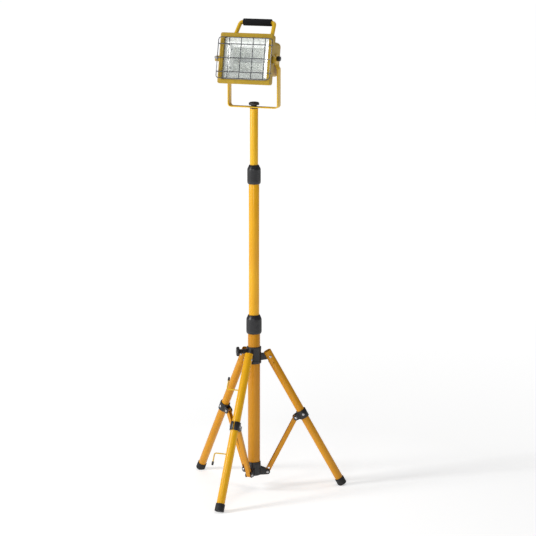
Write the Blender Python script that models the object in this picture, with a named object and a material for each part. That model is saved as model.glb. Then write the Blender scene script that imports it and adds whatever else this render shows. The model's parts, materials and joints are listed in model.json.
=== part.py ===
"""A tripod work light: a floodlight head on a three-part telescoping mast with folding legs.

Metres, +Z up.  The lamp faces -Y.  The origin is on the floor, under the middle of the
object's bounding box.  The mast stands a little behind it, because only one of the three
legs points forward.
"""
import bpy
import bmesh
from math import cos, hypot, pi, radians, sin, tan
from mathutils import Matrix, Vector

GAP = 0.0003                     # clearance between pieces that touch on the real object

# Mast: three telescoping tubes
LOWER_RADIUS, LOWER_WALL = 0.0210, 0.0016
MIDDLE_RADIUS, MIDDLE_WALL = 0.0180, 0.0015
UPPER_RADIUS, UPPER_WALL = 0.0140, 0.0014
LOWER_BOTTOM, LOWER_TOP = 0.0545, 0.586
MIDDLE_BOTTOM, MIDDLE_TOP = 0.511, 1.111
UPPER_BOTTOM, UPPER_TOP = 0.839, 1.326
LOWER_NUT_BOTTOM, UPPER_NUT_BOTTOM = 0.552, 1.070
NUT_HEIGHT = 0.065
LOWER_NUT_RADIUS, UPPER_NUT_RADIUS = 0.0265, 0.0231

# Tripod: hub that slides on the lower tube, legs, and braces to the fixed base hub
LEG_AZIMUTHS = {"front": -90.0, "right": 30.0, "left": 150.0}
LEG_LEAN = radians(28.9)         # from vertical, opened
LEG_PIVOT_RADIUS, LEG_PIVOT_HEIGHT = 0.055, 0.470
LEG_RADIUS, LEG_WALL = 0.0140, 0.0015
LEG_TOP = 0.021                  # tube beyond its pivot
BRACKET_DROP, BRACE_OFFSET = 0.237, 0.028   # brace pivot, along and inward of the leg
BASE_PIVOT_RADIUS, BASE_PIVOT_HEIGHT = 0.046, 0.060
BRACE_WIDTH, BRACE_DEPTH, BRACE_WALL = 0.0144, 0.0150, 0.0015
BRACE_SLOT = 0.0127              # travel of the base rivet in the brace's slot
CHEEK = 0.0034                   # thickness of the hubs' and brackets' cheek plates
RIVET_RADIUS = 0.0025
FOOT_RADIUS, FOOT_LENGTH = 0.0162, 0.026
SOLE_LIFT = 0.004                # height of the middle of a foot's end
HOOK_RADIUS, HOOK_REACH, HOOK_RISE = 0.0022, 0.056, 0.040
HOOK_DROPS = {"upper": 0.110, "lower": 0.335}

# Yoke and head; the head's own frame has its origin on the tilt axis and faces -Y
YOKE_WIDTH, YOKE_THICKNESS = 0.028, 0.0035
YOKE_BOTTOM = 1.3295
YOKE_HALF_SPAN, YOKE_EAR_SPAN = 0.0893, 0.0810   # arm centre planes, low down and at the ears
TILT_HEIGHT = 1.4965
TILT = radians(12.0)             # the lamp looks up by this much
FRONT_DROP, BODY_DROP = -0.012, 0.000      # heights of the front and of the rear body
BEZEL_FRONT, BEZEL_BACK = -0.0800, -0.0676
BEZEL_SIZE, WINDOW_SIZE = (0.187, 0.170), (0.160, 0.140)
SHOULDER_FRONT, SHOULDER_BACK = -0.0670, -0.0470
SHOULDER_SIZE = (0.183, 0.166)
BODY_BACK, BODY_SIZE = 0.0460, (0.154, 0.114)
SHELL_WALL = 0.003
GUARD_FRONT, GUARD_WIRE = -0.0885, 0.0015
GUARD_HALF = (0.0958, 0.0685)
GUARD_ROWS = (-0.0465, 0.0, 0.0465)
GUARD_COLUMNS = (-0.0575, -0.0148, 0.0278, 0.0705)
HINGE_AXIS = (0.0981, -0.0693)   # of the front frame, in the head's X and Y
KNUCKLE_RADIUS = 0.0038
LATCH_X = -0.1035
LAMP_Y = -0.008
HANDLE_FOOT, HANDLE_TOP = (0.0675, -0.0255), (0.0610, 0.0085, 0.1205)   # X, Y; X, Y, Z

MAST_SIDES, LEG_SIDES, SMALL_SIDES = 24, 20, 12


def clear_scene():
    for item in list(bpy.data.objects):
        bpy.data.objects.remove(item)


def paint(name, colour, roughness, metallic=0.0):
    material = bpy.data.materials.new(name)
    material.use_nodes = True
    shader = material.node_tree.nodes["Principled BSDF"]
    shader.inputs["Base Color"].default_value = (*colour, 1.0)
    shader.inputs["Roughness"].default_value = roughness
    shader.inputs["Metallic"].default_value = metallic
    return material


def make_materials():
    return {
        "mast_yellow": paint("mast_yellow", (0.84, 0.44, 0.035), 0.35),
        "leg_yellow": paint("leg_yellow", (0.80, 0.36, 0.025), 0.35),
        "head_yellow": paint("head_yellow", (0.62, 0.36, 0.04), 0.45),
        "black_plastic": paint("black_plastic", (0.018, 0.018, 0.02), 0.40),
        "black_rubber": paint("black_rubber", (0.014, 0.014, 0.015), 0.80),
        "foam": paint("foam", (0.012, 0.013, 0.015), 0.95),
        "steel": paint("steel", (0.62, 0.62, 0.64), 0.30, 1.0),
        "chrome_wire": paint("chrome_wire", (0.55, 0.56, 0.58), 0.22, 1.0),
        "reflector": paint("reflector", (0.86, 0.88, 0.88), 0.20, 1.0),
        "glass": paint("glass", (0.90, 0.95, 0.93), 0.05),
        "ceramic": paint("ceramic", (0.80, 0.78, 0.72), 0.60),
    }


# ---------------------------------------------------------------- shapes

def finish(name, mesh, material, parent=None, smooth=True):
    thing = bpy.data.objects.new(name, mesh)
    bpy.context.collection.objects.link(thing)
    if material:
        mesh.materials.append(material)
    if parent:
        thing.parent = parent
    if smooth:
        mesh.shade_smooth()
        mesh.set_sharp_from_angle(angle=radians(35))
    return thing


def mesh_from(bm):
    bmesh.ops.recalc_face_normals(bm, faces=bm.faces)
    mesh = bpy.data.meshes.new("shape")
    bm.to_mesh(mesh)
    bm.free()
    return mesh


def turned(outline, sides):
    """Turn a closed (radius, height) outline about Z."""
    bm = bmesh.new()
    rings = []
    for radius, height in outline:
        count = 1 if radius < 1e-7 else sides
        angles = [2 * pi * k / sides for k in range(count)]
        rings.append([bm.verts.new((radius * cos(a), radius * sin(a), height)) for a in angles])
    for ring, following in zip(rings, rings[1:] + rings[:1]):
        if len(ring) == 1 and len(following) == 1:
            continue
        for k in range(sides):
            corners = [ring[k % len(ring)], ring[(k + 1) % sides % len(ring)],
                       following[(k + 1) % sides % len(following)], following[k % len(following)]]
            bm.faces.new(list(dict.fromkeys(corners)))
    return mesh_from(bm)


def tube(outer, wall, low, high, sides):
    inner = outer - wall
    return turned([(inner, low), (outer, low), (outer, high), (inner, high)], sides)


def rod(radius, low, high, sides=SMALL_SIDES):
    return turned([(0, low), (radius, low), (radius, high), (0, high)], sides)


def prism(outline, low, high):
    """Extrude an (x, y) outline from z = low to z = high."""
    bm = bmesh.new()
    bottom = [bm.verts.new((x, y, low)) for x, y in outline]
    top = [bm.verts.new((x, y, high)) for x, y in outline]
    bm.faces.new(bottom)
    bm.faces.new(top)
    for k in range(len(outline)):
        following = (k + 1) % len(outline)
        bm.faces.new([bottom[k], bottom[following], top[following], top[k]])
    return mesh_from(bm)


def rounded(corners, radii, steps=3):
    """Replace each corner of a polygon or path with an arc; a radius of 0 keeps the corner."""
    count = len(corners)
    points = [Vector(corner) for corner in corners]
    result = []
    for k, (point, radius) in enumerate(zip(points, radii)):
        if radius == 0:
            result.append(tuple(point))
            continue
        back = (points[k - 1] - point).normalized()
        ahead = (points[(k + 1) % count] - point).normalized()
        half = back.angle(ahead) / 2
        start, end = point + back * radius / tan(half), point + ahead * radius / tan(half)
        centre = point + (back + ahead).normalized() * radius / sin(half)
        for step in range(steps + 1):
            share = step / steps
            sweep = (pi - 2 * half)
            first, last = start - centre, end - centre
            weight = (sin((1 - share) * sweep) / sin(sweep), sin(share * sweep) / sin(sweep))
            result.append(tuple(centre + first * weight[0] + last * weight[1]))
    return result


def rounded_box(size, radius, steps=3):
    x, y = size[0] / 2, size[1] / 2
    return rounded([(-x, -y), (x, -y), (x, y), (-x, y)], [radius] * 4, steps)


def wire(path, radius, sides_level=1, loop=False):
    """A round wire along a path, as a mesh."""
    curve = bpy.data.curves.new("wire", "CURVE")
    curve.dimensions = "3D"
    curve.bevel_depth = radius
    curve.bevel_resolution = sides_level
    curve.render_resolution_u = 0
    curve.use_fill_caps = not loop
    spline = curve.splines.new("POLY")
    spline.points.add(len(path) - 1)
    for point, place in zip(spline.points, path):
        point.co = (*place, 1.0)
    spline.use_cyclic_u = loop
    guide = bpy.data.objects.new("wire", curve)
    bpy.context.collection.objects.link(guide)
    graph = bpy.context.evaluated_depsgraph_get()
    mesh = bpy.data.meshes.new_from_object(guide.evaluated_get(graph))
    bpy.data.objects.remove(guide)
    bm = bmesh.new()
    bm.from_mesh(mesh)
    bmesh.ops.remove_doubles(bm, verts=bm.verts, dist=0.00001)
    return mesh_from(bm)


def moved(mesh, turn=None, to=(0, 0, 0)):
    mesh.transform(Matrix.Translation(to) @ (turn if turn else Matrix.Identity(4)))
    return mesh


ALONG_X = Matrix.Rotation(pi / 2, 4, "Y")          # sends +Z to +X
ALONG_MINUS_X = Matrix.Rotation(-pi / 2, 4, "Y")   # sends +Z to -X
ALONG_Y = Matrix.Rotation(-pi / 2, 4, "X")         # sends +Z to +Y, and +Y to -Z
FACING_Y = Matrix.Rotation(pi / 2, 4, "X")         # sends +Z to -Y, and +Y to +Z
FACING_X = Matrix(((0, 0, 1, 0), (1, 0, 0, 0), (0, 1, 0, 0), (0, 0, 0, 1)))  # x, y, z to y, z, x


def panel(outline, front, back):
    """Extrude an (x, z) outline from y = front to y = back."""
    return moved(prism(outline, -back, -front), FACING_Y)


def block(size, radius, front, back, drop=0.0):
    """Box with rounded edges along Y, centred at this height."""
    return moved(panel(rounded_box(size, radius), front, back), to=(0, 0, drop))


def side_plate(outline, low, high):
    """Extrude a (y, z) outline from x = low to x = high."""
    return moved(prism(outline, low, high), FACING_X)


def combine(base, tools, operation):
    """Apply a Boolean of the base mesh with each tool mesh."""
    thing = finish("base", base, None, smooth=False)
    for tool_mesh in tools:
        tool = finish("tool", tool_mesh, None, smooth=False)
        step = thing.modifiers.new("step", "BOOLEAN")
        step.operation = operation
        step.solver = "EXACT"
        step.object = tool
        graph = bpy.context.evaluated_depsgraph_get()
        result = bpy.data.meshes.new_from_object(thing.evaluated_get(graph))
        thing.modifiers.clear()
        thing.data = result
        bpy.data.objects.remove(tool)
    mesh = thing.data
    bpy.data.objects.remove(thing)
    return mesh


def join(base, *tools):
    return combine(base, tools, "UNION")


def cut(base, *tools):
    return combine(base, tools, "DIFFERENCE")


def common(base, *tools):
    return combine(base, tools, "INTERSECT")


def empty(name, parent, place, turn=(0, 0, 0)):
    guide = bpy.data.objects.new(name, None)
    bpy.context.collection.objects.link(guide)
    guide.parent = parent
    guide.location = place
    guide.rotation_euler = turn
    return guide


# ---------------------------------------------------------------- mast

def mast_shift():
    """How far the mast stands behind the middle of the box, from the feet's outer edges."""
    centre = LEG_PIVOT_RADIUS + leg_length() * sin(LEG_LEAN)
    half = FOOT_RADIUS * cos(LEG_LEAN)
    rear = radians(LEG_AZIMUTHS["right"])
    front_reach = centre + half
    rear_reach = centre * sin(rear) + hypot(half * sin(rear), FOOT_RADIUS * cos(rear))
    return (front_reach - rear_reach) / 2


def lock_nut(tube_radius, inner_radius, outer, bottom, seam):
    """Twist collar: bore for the outer tube, pocket for the collet, lip round the inner tube."""
    top = bottom + NUT_HEIGHT
    outline = [
        (tube_radius + 0.0005, bottom), (outer - 0.0025, bottom), (outer - 0.0006, bottom + 0.003),
        (outer, bottom + 0.006), (outer, top - 0.016), (outer - 0.0008, top - 0.011),
        (inner_radius + 0.0022, top), (inner_radius + 0.0004, top),
        (inner_radius + 0.0004, top - 0.0075), (tube_radius + 0.0020, top - 0.0075),
        (tube_radius + 0.0020, seam), (tube_radius + 0.0005, seam)]
    return turned(outline, MAST_SIDES)


def collet(tube_radius, inner_radius, bottom, top):
    ring = tube(tube_radius + 0.0016, tube_radius + 0.0016 - inner_radius - 0.0004,
                bottom, top, MAST_SIDES)
    slit = moved(prism(rounded_box((0.030, 0.0016), 0), bottom - 0.01, top + 0.01),
                 to=(0.015, 0, 0))
    return cut(ring, slit)


def guide_bush(bore, tube_bottom, inner_of_outer):
    """Plastic bush under a sliding tube: a spigot in its end and a flange that slides."""
    flange = inner_of_outer - 0.0004
    return turned([(bore - 0.004, tube_bottom - 0.010), (flange, tube_bottom - 0.010),
                   (flange, tube_bottom - GAP), (bore - GAP, tube_bottom - GAP),
                   (bore - GAP, tube_bottom + 0.020), (bore - 0.004, tube_bottom + 0.020)],
                  MAST_SIDES)


def build_mast(mast, paints):
    yellow, black = paints["mast_yellow"], paints["black_plastic"]
    finish("lower_tube", tube(LOWER_RADIUS, LOWER_WALL, LOWER_BOTTOM, LOWER_TOP, MAST_SIDES),
           yellow, mast)
    finish("middle_tube", tube(MIDDLE_RADIUS, MIDDLE_WALL, MIDDLE_BOTTOM, MIDDLE_TOP, MAST_SIDES),
           yellow, mast)
    finish("upper_tube", tube(UPPER_RADIUS, UPPER_WALL, UPPER_BOTTOM, UPPER_TOP, MAST_SIDES),
           yellow, mast)
    finish("lower_lock_nut", lock_nut(LOWER_RADIUS, MIDDLE_RADIUS, LOWER_NUT_RADIUS,
                                      LOWER_NUT_BOTTOM, LOWER_TOP), black, mast)
    finish("upper_lock_nut", lock_nut(MIDDLE_RADIUS, UPPER_RADIUS, UPPER_NUT_RADIUS,
                                      UPPER_NUT_BOTTOM, MIDDLE_TOP), black, mast)
    lip = 0.0078
    finish("lower_collet", collet(LOWER_RADIUS, MIDDLE_RADIUS, LOWER_TOP + GAP,
                                  LOWER_NUT_BOTTOM + NUT_HEIGHT - lip), black, mast)
    finish("upper_collet", collet(MIDDLE_RADIUS, UPPER_RADIUS, MIDDLE_TOP + GAP,
                                  UPPER_NUT_BOTTOM + NUT_HEIGHT - lip), black, mast)
    finish("middle_guide_bush", guide_bush(MIDDLE_RADIUS - MIDDLE_WALL, MIDDLE_BOTTOM,
                                           LOWER_RADIUS - LOWER_WALL), black, mast)
    finish("upper_guide_bush", guide_bush(UPPER_RADIUS - UPPER_WALL, UPPER_BOTTOM,
                                          MIDDLE_RADIUS - MIDDLE_WALL), black, mast)
    spigot = UPPER_RADIUS - UPPER_WALL - GAP
    plug = [(0, UPPER_TOP - 0.022), (spigot, UPPER_TOP - 0.022), (spigot, UPPER_TOP + GAP),
            (UPPER_RADIUS + 0.0005, UPPER_TOP + GAP), (UPPER_RADIUS + 0.0005, YOKE_BOTTOM - GAP),
            (0.0044, YOKE_BOTTOM - GAP), (0.0044, UPPER_TOP - 0.016), (0, UPPER_TOP - 0.016)]
    finish("mast_top_plug", turned(plug, MAST_SIDES), black, mast)


# ---------------------------------------------------------------- tripod

def ear_outline(root, low, high, pivot, radius):
    """(radius, height) outline of an ear from a hub's wall to a round end at its pivot."""
    arc = [(pivot[0] + radius * sin(a), pivot[1] - radius * cos(a))
           for a in [pi * k / 6 for k in range(7)]]
    return [(root, low)] + arc + [(root, high)]


def ear_plate(outline, low, high):
    """Extrude a (radius, height) outline across the tangential direction, Y."""
    return panel(outline, low, high)


def about_mast(mesh, azimuth):
    return moved(mesh, Matrix.Rotation(radians(azimuth), 4, "Z"))


def build_hubs(mast, paints):
    black = paints["black_plastic"]
    cheek_inner = BRACE_WIDTH / 2 + 0.0004
    low, high = LEG_PIVOT_HEIGHT - 0.023, LEG_PIVOT_HEIGHT + 0.036
    sleeve = turned([(LOWER_RADIUS + GAP, low), (0.0240, low), (0.0252, low + 0.002),
                     (0.0252, high - 0.002), (0.0240, high), (LOWER_RADIUS + GAP, high)],
                    MAST_SIDES)
    parts = []
    tongue = ear_outline(0.0230, LEG_PIVOT_HEIGHT - 0.013, LEG_PIVOT_HEIGHT + 0.012,
                         (LEG_PIVOT_RADIUS, LEG_PIVOT_HEIGHT), 0.0095)
    for azimuth in LEG_AZIMUTHS.values():
        parts.append(about_mast(ear_plate(tongue, -0.006, 0.006), azimuth))
    clamp_turn = Matrix.Rotation(radians(210), 4, "Z") @ ALONG_X
    clamp_place = (0, 0, LEG_PIVOT_HEIGHT + 0.019)
    parts.append(moved(rod(0.0085, 0.0226, 0.0400, LEG_SIDES), clamp_turn, clamp_place))
    head = join(sleeve, *parts)
    holes = [moved(rod(0.0034, 0.0150, 0.0500), clamp_turn, clamp_place)]
    for azimuth in LEG_AZIMUTHS.values():
        hole = moved(rod(RIVET_RADIUS + GAP, -0.02, 0.02), FACING_Y,
                     (LEG_PIVOT_RADIUS, 0, LEG_PIVOT_HEIGHT))
        holes.append(about_mast(hole, azimuth))
    finish("tripod_head", cut(head, *holes), black, mast)

    clamp = empty("clamp_axis", mast, clamp_place, (0, pi / 2, radians(210)))
    knob = [(0, 0.0214), (0.0030, 0.0214), (0.0030, 0.0403), (0.0080, 0.0403), (0.0080, 0.0500),
            (0.0150, 0.0510), (0.0165, 0.0530), (0.0165, 0.0590), (0.0145, 0.0615), (0, 0.0620)]
    finish("clamp_knob", turned(knob, LEG_SIDES), black, clamp)

    floor, rim = LOWER_BOTTOM - 0.0045, LOWER_BOTTOM + 0.0435
    cup = turned([(0, floor), (0.0215, floor), (0.0237, floor + 0.002), (0.0237, rim - 0.001),
                  (0.0230, rim), (LOWER_RADIUS + GAP, rim), (LOWER_RADIUS + GAP, LOWER_BOTTOM - GAP),
                  (0, LOWER_BOTTOM - GAP)], MAST_SIDES)
    ear = ear_outline(0.0202, floor + 0.0005, BASE_PIVOT_HEIGHT + 0.020,
                      (BASE_PIVOT_RADIUS, BASE_PIVOT_HEIGHT), 0.0090)
    cheeks, holes = [], []
    for azimuth in LEG_AZIMUTHS.values():
        for side in (-1, 1):
            near, far = sorted((side * cheek_inner, side * (cheek_inner + CHEEK)))
            cheeks.append(about_mast(ear_plate(ear, near, far), azimuth))
        hole = moved(rod(RIVET_RADIUS + GAP, -0.02, 0.02), FACING_Y,
                     (BASE_PIVOT_RADIUS, 0, BASE_PIVOT_HEIGHT))
        holes.append(about_mast(hole, azimuth))
    finish("base_hub", cut(join(cup, *cheeks), *holes), black, mast)


def rivet(half_width):
    """Rivet along Y, with a domed head on each side of a stack of this half width."""
    end, head = half_width + GAP, 0.0046
    outline = [(0, -end - 0.0020), (head * 0.7, -end - 0.0016), (head, -end),
               (RIVET_RADIUS, -end), (RIVET_RADIUS, end), (head, end),
               (head * 0.7, end + 0.0016), (0, end + 0.0020)]
    return moved(turned(outline, SMALL_SIDES), FACING_Y)


def leg_length():
    """From the leg's pivot to the middle of its foot's end."""
    return (LEG_PIVOT_HEIGHT - SOLE_LIFT) / cos(LEG_LEAN)


def leg_tube(with_hooks):
    """Leg along -Z from its pivot; +X is outward, and the slot for the hub's tongue faces in."""
    body = tube(LEG_RADIUS, LEG_WALL, FOOT_LENGTH * 0.3 - leg_length(), LEG_TOP, LEG_SIDES)
    slot = moved(prism(rounded_box((0.030, 0.0129), 0), -0.0145, LEG_TOP + 0.01),
                 to=(-0.0150, 0, 0))
    across = [moved(rod(RIVET_RADIUS + GAP, -0.03, 0.03), FACING_Y, (0, 0, height))
              for height in (0, -BRACKET_DROP)]
    across.append(moved(rod(0.0021, -0.03, 0.03), FACING_Y, (0, 0, -0.0245)))
    cutters = [slot] + across
    if with_hooks:
        for drop in HOOK_DROPS.values():
            cutters.append(moved(rod(HOOK_RADIUS + 0.0004, 0, 0.03), FACING_Y, (0, 0, -drop)))
    return cut(body, *cutters)


def foot():
    """Rubber cap on the leg's end; the corner that meets the floor is cut level with it."""
    end = -leg_length()
    seat, top = end + FOOT_LENGTH * 0.3 - GAP, end + FOOT_LENGTH
    bore = LEG_RADIUS + GAP
    cap = turned([(0, end), (FOOT_RADIUS - 0.0012, end), (FOOT_RADIUS, end + 0.0015),
                  (FOOT_RADIUS, top - 0.0015), (FOOT_RADIUS - 0.001, top), (bore, top),
                  (bore, seat), (0, seat)], LEG_SIDES)
    below_floor = prism(rounded_box((0.2, 0.2), 0), -0.1, 0)
    pivot_to_floor = (0, 0, -LEG_PIVOT_HEIGHT / cos(LEG_LEAN))
    return cut(cap, moved(below_floor, Matrix.Rotation(LEG_LEAN, 4, "Y"), pivot_to_floor))


def leg_bracket():
    """Split collar round the leg, with two cheeks for the brace on its inner side."""
    drop = -BRACKET_DROP
    ring = tube(LEG_RADIUS + 0.0036, 0.0033, drop - 0.015, drop + 0.015, LEG_SIDES)
    inner = BRACE_WIDTH / 2 + 0.0004
    outline = rounded([(-0.0132, drop - 0.0115), (-0.0132, drop + 0.0115),
                       (-BRACE_OFFSET - 0.0085, drop + 0.0085),
                       (-BRACE_OFFSET - 0.0085, drop - 0.0085)], (0, 0, 0.0083, 0.0083))
    cheeks = []
    for side in (-1, 1):
        near, far = sorted((side * inner, side * (inner + CHEEK)))
        cheeks.append(panel(outline, near, far))
    split = moved(prism(rounded_box((0.012, 0.005), 0), drop - 0.02, drop + 0.02),
                  to=(LEG_RADIUS + 0.002, 0, 0))
    holes = [moved(rod(RIVET_RADIUS + GAP, -0.03, 0.03), FACING_Y, (x, 0, drop))
             for x in (0, -BRACE_OFFSET)]
    return cut(join(ring, *cheeks), split, *holes)


def brace_length_and_lean():
    """Distance between the two brace pivots, and the brace's lean, in a leg's radial plane."""
    top_radius = (LEG_PIVOT_RADIUS + BRACKET_DROP * sin(LEG_LEAN) - BRACE_OFFSET * cos(LEG_LEAN))
    top_height = (LEG_PIVOT_HEIGHT - BRACKET_DROP * cos(LEG_LEAN) - BRACE_OFFSET * sin(LEG_LEAN))
    run, rise = top_radius - BASE_PIVOT_RADIUS, top_height - BASE_PIVOT_HEIGHT
    lean = Vector((rise, run)).angle_signed(Vector((1, 0)))
    return hypot(run, rise), abs(lean), (top_radius, top_height)


def brace():
    """Channel from its top pivot down -Z; slots in its lower end let the base rivet travel."""
    length, _lean, _top = brace_length_and_lean()
    half = BRACE_DEPTH / 2
    outline = rounded([(-half, -length - half), (half, -length - half), (half, half),
                       (-half, half)], [half * 0.98] * 4, 4)
    body = panel(outline, -BRACE_WIDTH / 2, BRACE_WIDTH / 2)
    inside = BRACE_WIDTH / 2 - BRACE_WALL
    hollow = panel([(-half - 0.01, -length - 0.03), (half - BRACE_WALL, -length - 0.03),
                    (half - BRACE_WALL, 0.03), (-half - 0.01, 0.03)], -inside, inside)
    slot_half = RIVET_RADIUS + 0.0024
    slot = rounded([(-slot_half, -length - slot_half), (slot_half, -length - slot_half),
                    (slot_half, -length + BRACE_SLOT + slot_half),
                    (-slot_half, -length + BRACE_SLOT + slot_half)], [slot_half * 0.98] * 4)
    hole = moved(rod(RIVET_RADIUS + GAP, -0.03, 0.03), FACING_Y)
    return cut(body, hollow, panel(slot, -0.03, 0.03), hole)


def hook(direction):
    """Bent wire hook for wrapping a cord: out of the leg, then along it."""
    path = rounded([(0, -0.0060, 0), (0, -HOOK_REACH, 0), (0, -HOOK_REACH, direction * HOOK_RISE)],
                   (0, 0.006, 0), 5)
    return wire(path, HOOK_RADIUS)


def hook_tip(direction):
    inner, outer = HOOK_RADIUS + GAP, HOOK_RADIUS + 0.0014
    outline = [(inner, HOOK_RISE - 0.010), (outer, HOOK_RISE - 0.010), (outer, HOOK_RISE + 0.001),
               (outer - 0.001, HOOK_RISE + 0.0025), (0, HOOK_RISE + 0.003), (0, HOOK_RISE + GAP),
               (inner, HOOK_RISE + GAP)]
    turn = Matrix.Identity(4) if direction > 0 else Matrix.Rotation(pi, 4, "X")
    return moved(turned(outline, 12), turn, (0, -HOOK_REACH, 0))


def build_legs(mast, paints):
    yellow, black = paints["leg_yellow"], paints["black_plastic"]
    rubber, steel = paints["black_rubber"], paints["steel"]
    _length, lean, (top_radius, top_height) = brace_length_and_lean()
    for side, azimuth in LEG_AZIMUTHS.items():
        turn = radians(azimuth)
        radial = Vector((cos(turn), sin(turn), 0))

        def place(radius, height):
            return radial * radius + Vector((0, 0, height))

        leg = empty(f"leg_pivot_{side}", mast, place(LEG_PIVOT_RADIUS, LEG_PIVOT_HEIGHT),
                    (0, -LEG_LEAN, turn))
        finish(f"leg_{side}", leg_tube(side == "front"), yellow, leg)
        finish(f"foot_{side}", foot(), rubber, leg)
        finish(f"leg_rivet_{side}", rivet(LEG_RADIUS), steel, leg)
        finish(f"leg_bracket_{side}", leg_bracket(), black, leg)
        collar_rivet = finish(f"bracket_rivet_{side}", rivet(LEG_RADIUS + 0.0036), steel, leg)
        collar_rivet.location = (0, 0, -BRACKET_DROP)
        stack = BRACE_WIDTH / 2 + 0.0004 + CHEEK
        top_rivet = finish(f"brace_rivet_{side}", rivet(stack), steel, leg)
        top_rivet.location = (-BRACE_OFFSET, 0, -BRACKET_DROP)
        brace_pivot = empty(f"brace_pivot_{side}", mast, place(top_radius, top_height),
                            (0, lean, turn))
        finish(f"brace_{side}", brace(), yellow, brace_pivot)
        base_rivet = empty(f"base_pivot_{side}", mast, place(BASE_PIVOT_RADIUS, BASE_PIVOT_HEIGHT),
                           (0, 0, turn))
        finish(f"base_rivet_{side}", rivet(stack), steel, base_rivet)
        if side == "front":
            for name, direction in (("upper", 1), ("lower", -1)):
                drop = (0, 0, -HOOK_DROPS[name])
                finish(f"cord_hook_{name}", hook(direction), yellow, leg).location = drop
                finish(f"hook_tip_{name}", hook_tip(direction), rubber, leg).location = drop


# ---------------------------------------------------------------- yoke

def yoke_mesh():
    """Flat strip bent to a U, with its ears set inward at the tilt axis."""
    top = TILT_HEIGHT + YOKE_WIDTH / 2
    half, ear = YOKE_HALF_SPAN, YOKE_EAR_SPAN
    thick = YOKE_THICKNESS / 2
    joggle_low, joggle_high = TILT_HEIGHT - 0.034, TILT_HEIGHT - 0.020

    def side_line(offset, bottom):
        return [(ear + offset, top), (ear + offset, joggle_high), (half + offset, joggle_low),
                (half + offset, bottom)]

    outer = side_line(thick, YOKE_BOTTOM)
    inner = side_line(-thick, YOKE_BOTTOM + YOKE_THICKNESS)
    corners = outer + [(-x, z) for x, z in reversed(outer)]
    corners += [(-x, z) for x, z in inner] + list(reversed(inner))
    radii = ([0, 0.006, 0.006, 0.012, 0.012, 0.006, 0.006, 0] +
             [0, 0.006, 0.006, 0.0085, 0.0085, 0.006, 0.006, 0])
    strip = panel(rounded(corners, radii), -YOKE_WIDTH / 2, YOKE_WIDTH / 2)
    width = YOKE_WIDTH / 2
    face = [(-width, YOKE_BOTTOM - 0.01), (width, YOKE_BOTTOM - 0.01)]
    face += [(width * cos(a), TILT_HEIGHT + width * sin(a)) for a in [pi * k / 12 for k in range(13)]]
    strip = common(strip, side_plate(face, -0.12, 0.12))
    mast_hole = rod(0.0044, YOKE_BOTTOM - 0.01, YOKE_BOTTOM + 0.02)
    tilt_hole = moved(rod(0.0044, -0.12, 0.12), ALONG_X, (0, 0, TILT_HEIGHT))
    return cut(strip, mast_hole, tilt_hole)


def build_yoke(mast, paints):
    finish("yoke", yoke_mesh(), paints["leg_yellow"], mast)
    seat = YOKE_BOTTOM + YOKE_THICKNESS + GAP
    outline = [(0, UPPER_TOP - 0.014), (0.0040, UPPER_TOP - 0.014), (0.0040, seat), (0.0095, seat),
               (0.0100, seat + 0.0040), (0.0165, seat + 0.0045), (0.0180, seat + 0.0070),
               (0.0180, seat + 0.0110), (0.0150, seat + 0.0145), (0, seat + 0.0160)]
    finish("yoke_knob", turned(outline, LEG_SIDES), paints["black_plastic"], mast)


# ---------------------------------------------------------------- head

def front_frame():
    outer = panel(rounded_box(BEZEL_SIZE, 0.006), BEZEL_FRONT, BEZEL_BACK)
    window = panel(rounded_box(WINDOW_SIZE, 0.005), BEZEL_FRONT - 0.01, BEZEL_BACK + 0.01)
    rebate = panel(rounded_box((WINDOW_SIZE[0] + 0.012, WINDOW_SIZE[1] + 0.012), 0.006),
                   BEZEL_BACK - 0.0054, BEZEL_BACK + 0.01)
    lug = panel(rounded([(LATCH_X - 0.006, -0.012), (-0.090, -0.012), (-0.090, 0.007),
                         (LATCH_X - 0.006, 0.007)], (0.005, 0, 0, 0.005)), -0.0760, -0.0700)
    x, y = HINGE_AXIS
    knuckle = moved(rod(KNUCKLE_RADIUS, -0.0038, 0.0038), to=(x, y, 0))
    web = panel([(0.089, -0.0036), (x, -0.0036), (x, 0.0036), (0.089, 0.0036)],
                BEZEL_BACK - 0.0049, BEZEL_BACK - GAP)
    frame = join(outer, lug, knuckle, web)
    cutters = [window, rebate, moved(rod(0.0021, -0.03, 0.03), to=(x, y, 0)),
               moved(rod(0.0029, -0.02, 0.02), ALONG_Y, (LATCH_X, -0.073, 0))]
    for row in (GUARD_ROWS[0], GUARD_ROWS[-1]):
        for turn, side in ((ALONG_X, 1), (ALONG_MINUS_X, -1)):
            cutters.append(moved(rod(GUARD_WIRE + 0.0004, 0, 0.02, 12), turn,
                                 (side * 0.0895, BEZEL_FRONT + 0.006, row)))
    return cut(frame, *cutters)


def wire_guard():
    """Welded wire grid in front of the glass; the outer rows' ends hook into the frame."""
    x, z = GUARD_HALF
    hook_y = BEZEL_FRONT + 0.006
    end = 0.0905
    loop = [(px, GUARD_FRONT, pz) for px, pz in rounded_box((2 * x, 2 * z), 0.010, 4)]
    bars = []
    for row in GUARD_ROWS:
        if row == 0:
            path = [(-x, GUARD_FRONT, row), (x, GUARD_FRONT, row)]
        else:
            path = rounded([(-end, hook_y, row), (-x, hook_y, row), (-x, GUARD_FRONT, row),
                            (x, GUARD_FRONT, row), (x, hook_y, row), (end, hook_y, row)],
                           (0, 0.003, 0.004, 0.004, 0.003, 0), 3)
        bars.append(wire(path, GUARD_WIRE))
    for column in GUARD_COLUMNS:
        depth = GUARD_FRONT + 1.6 * GUARD_WIRE
        bars.append(wire([(column, depth, -z), (column, depth, z)], GUARD_WIRE))
    return join(wire(loop, GUARD_WIRE, loop=True), *bars)


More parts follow.
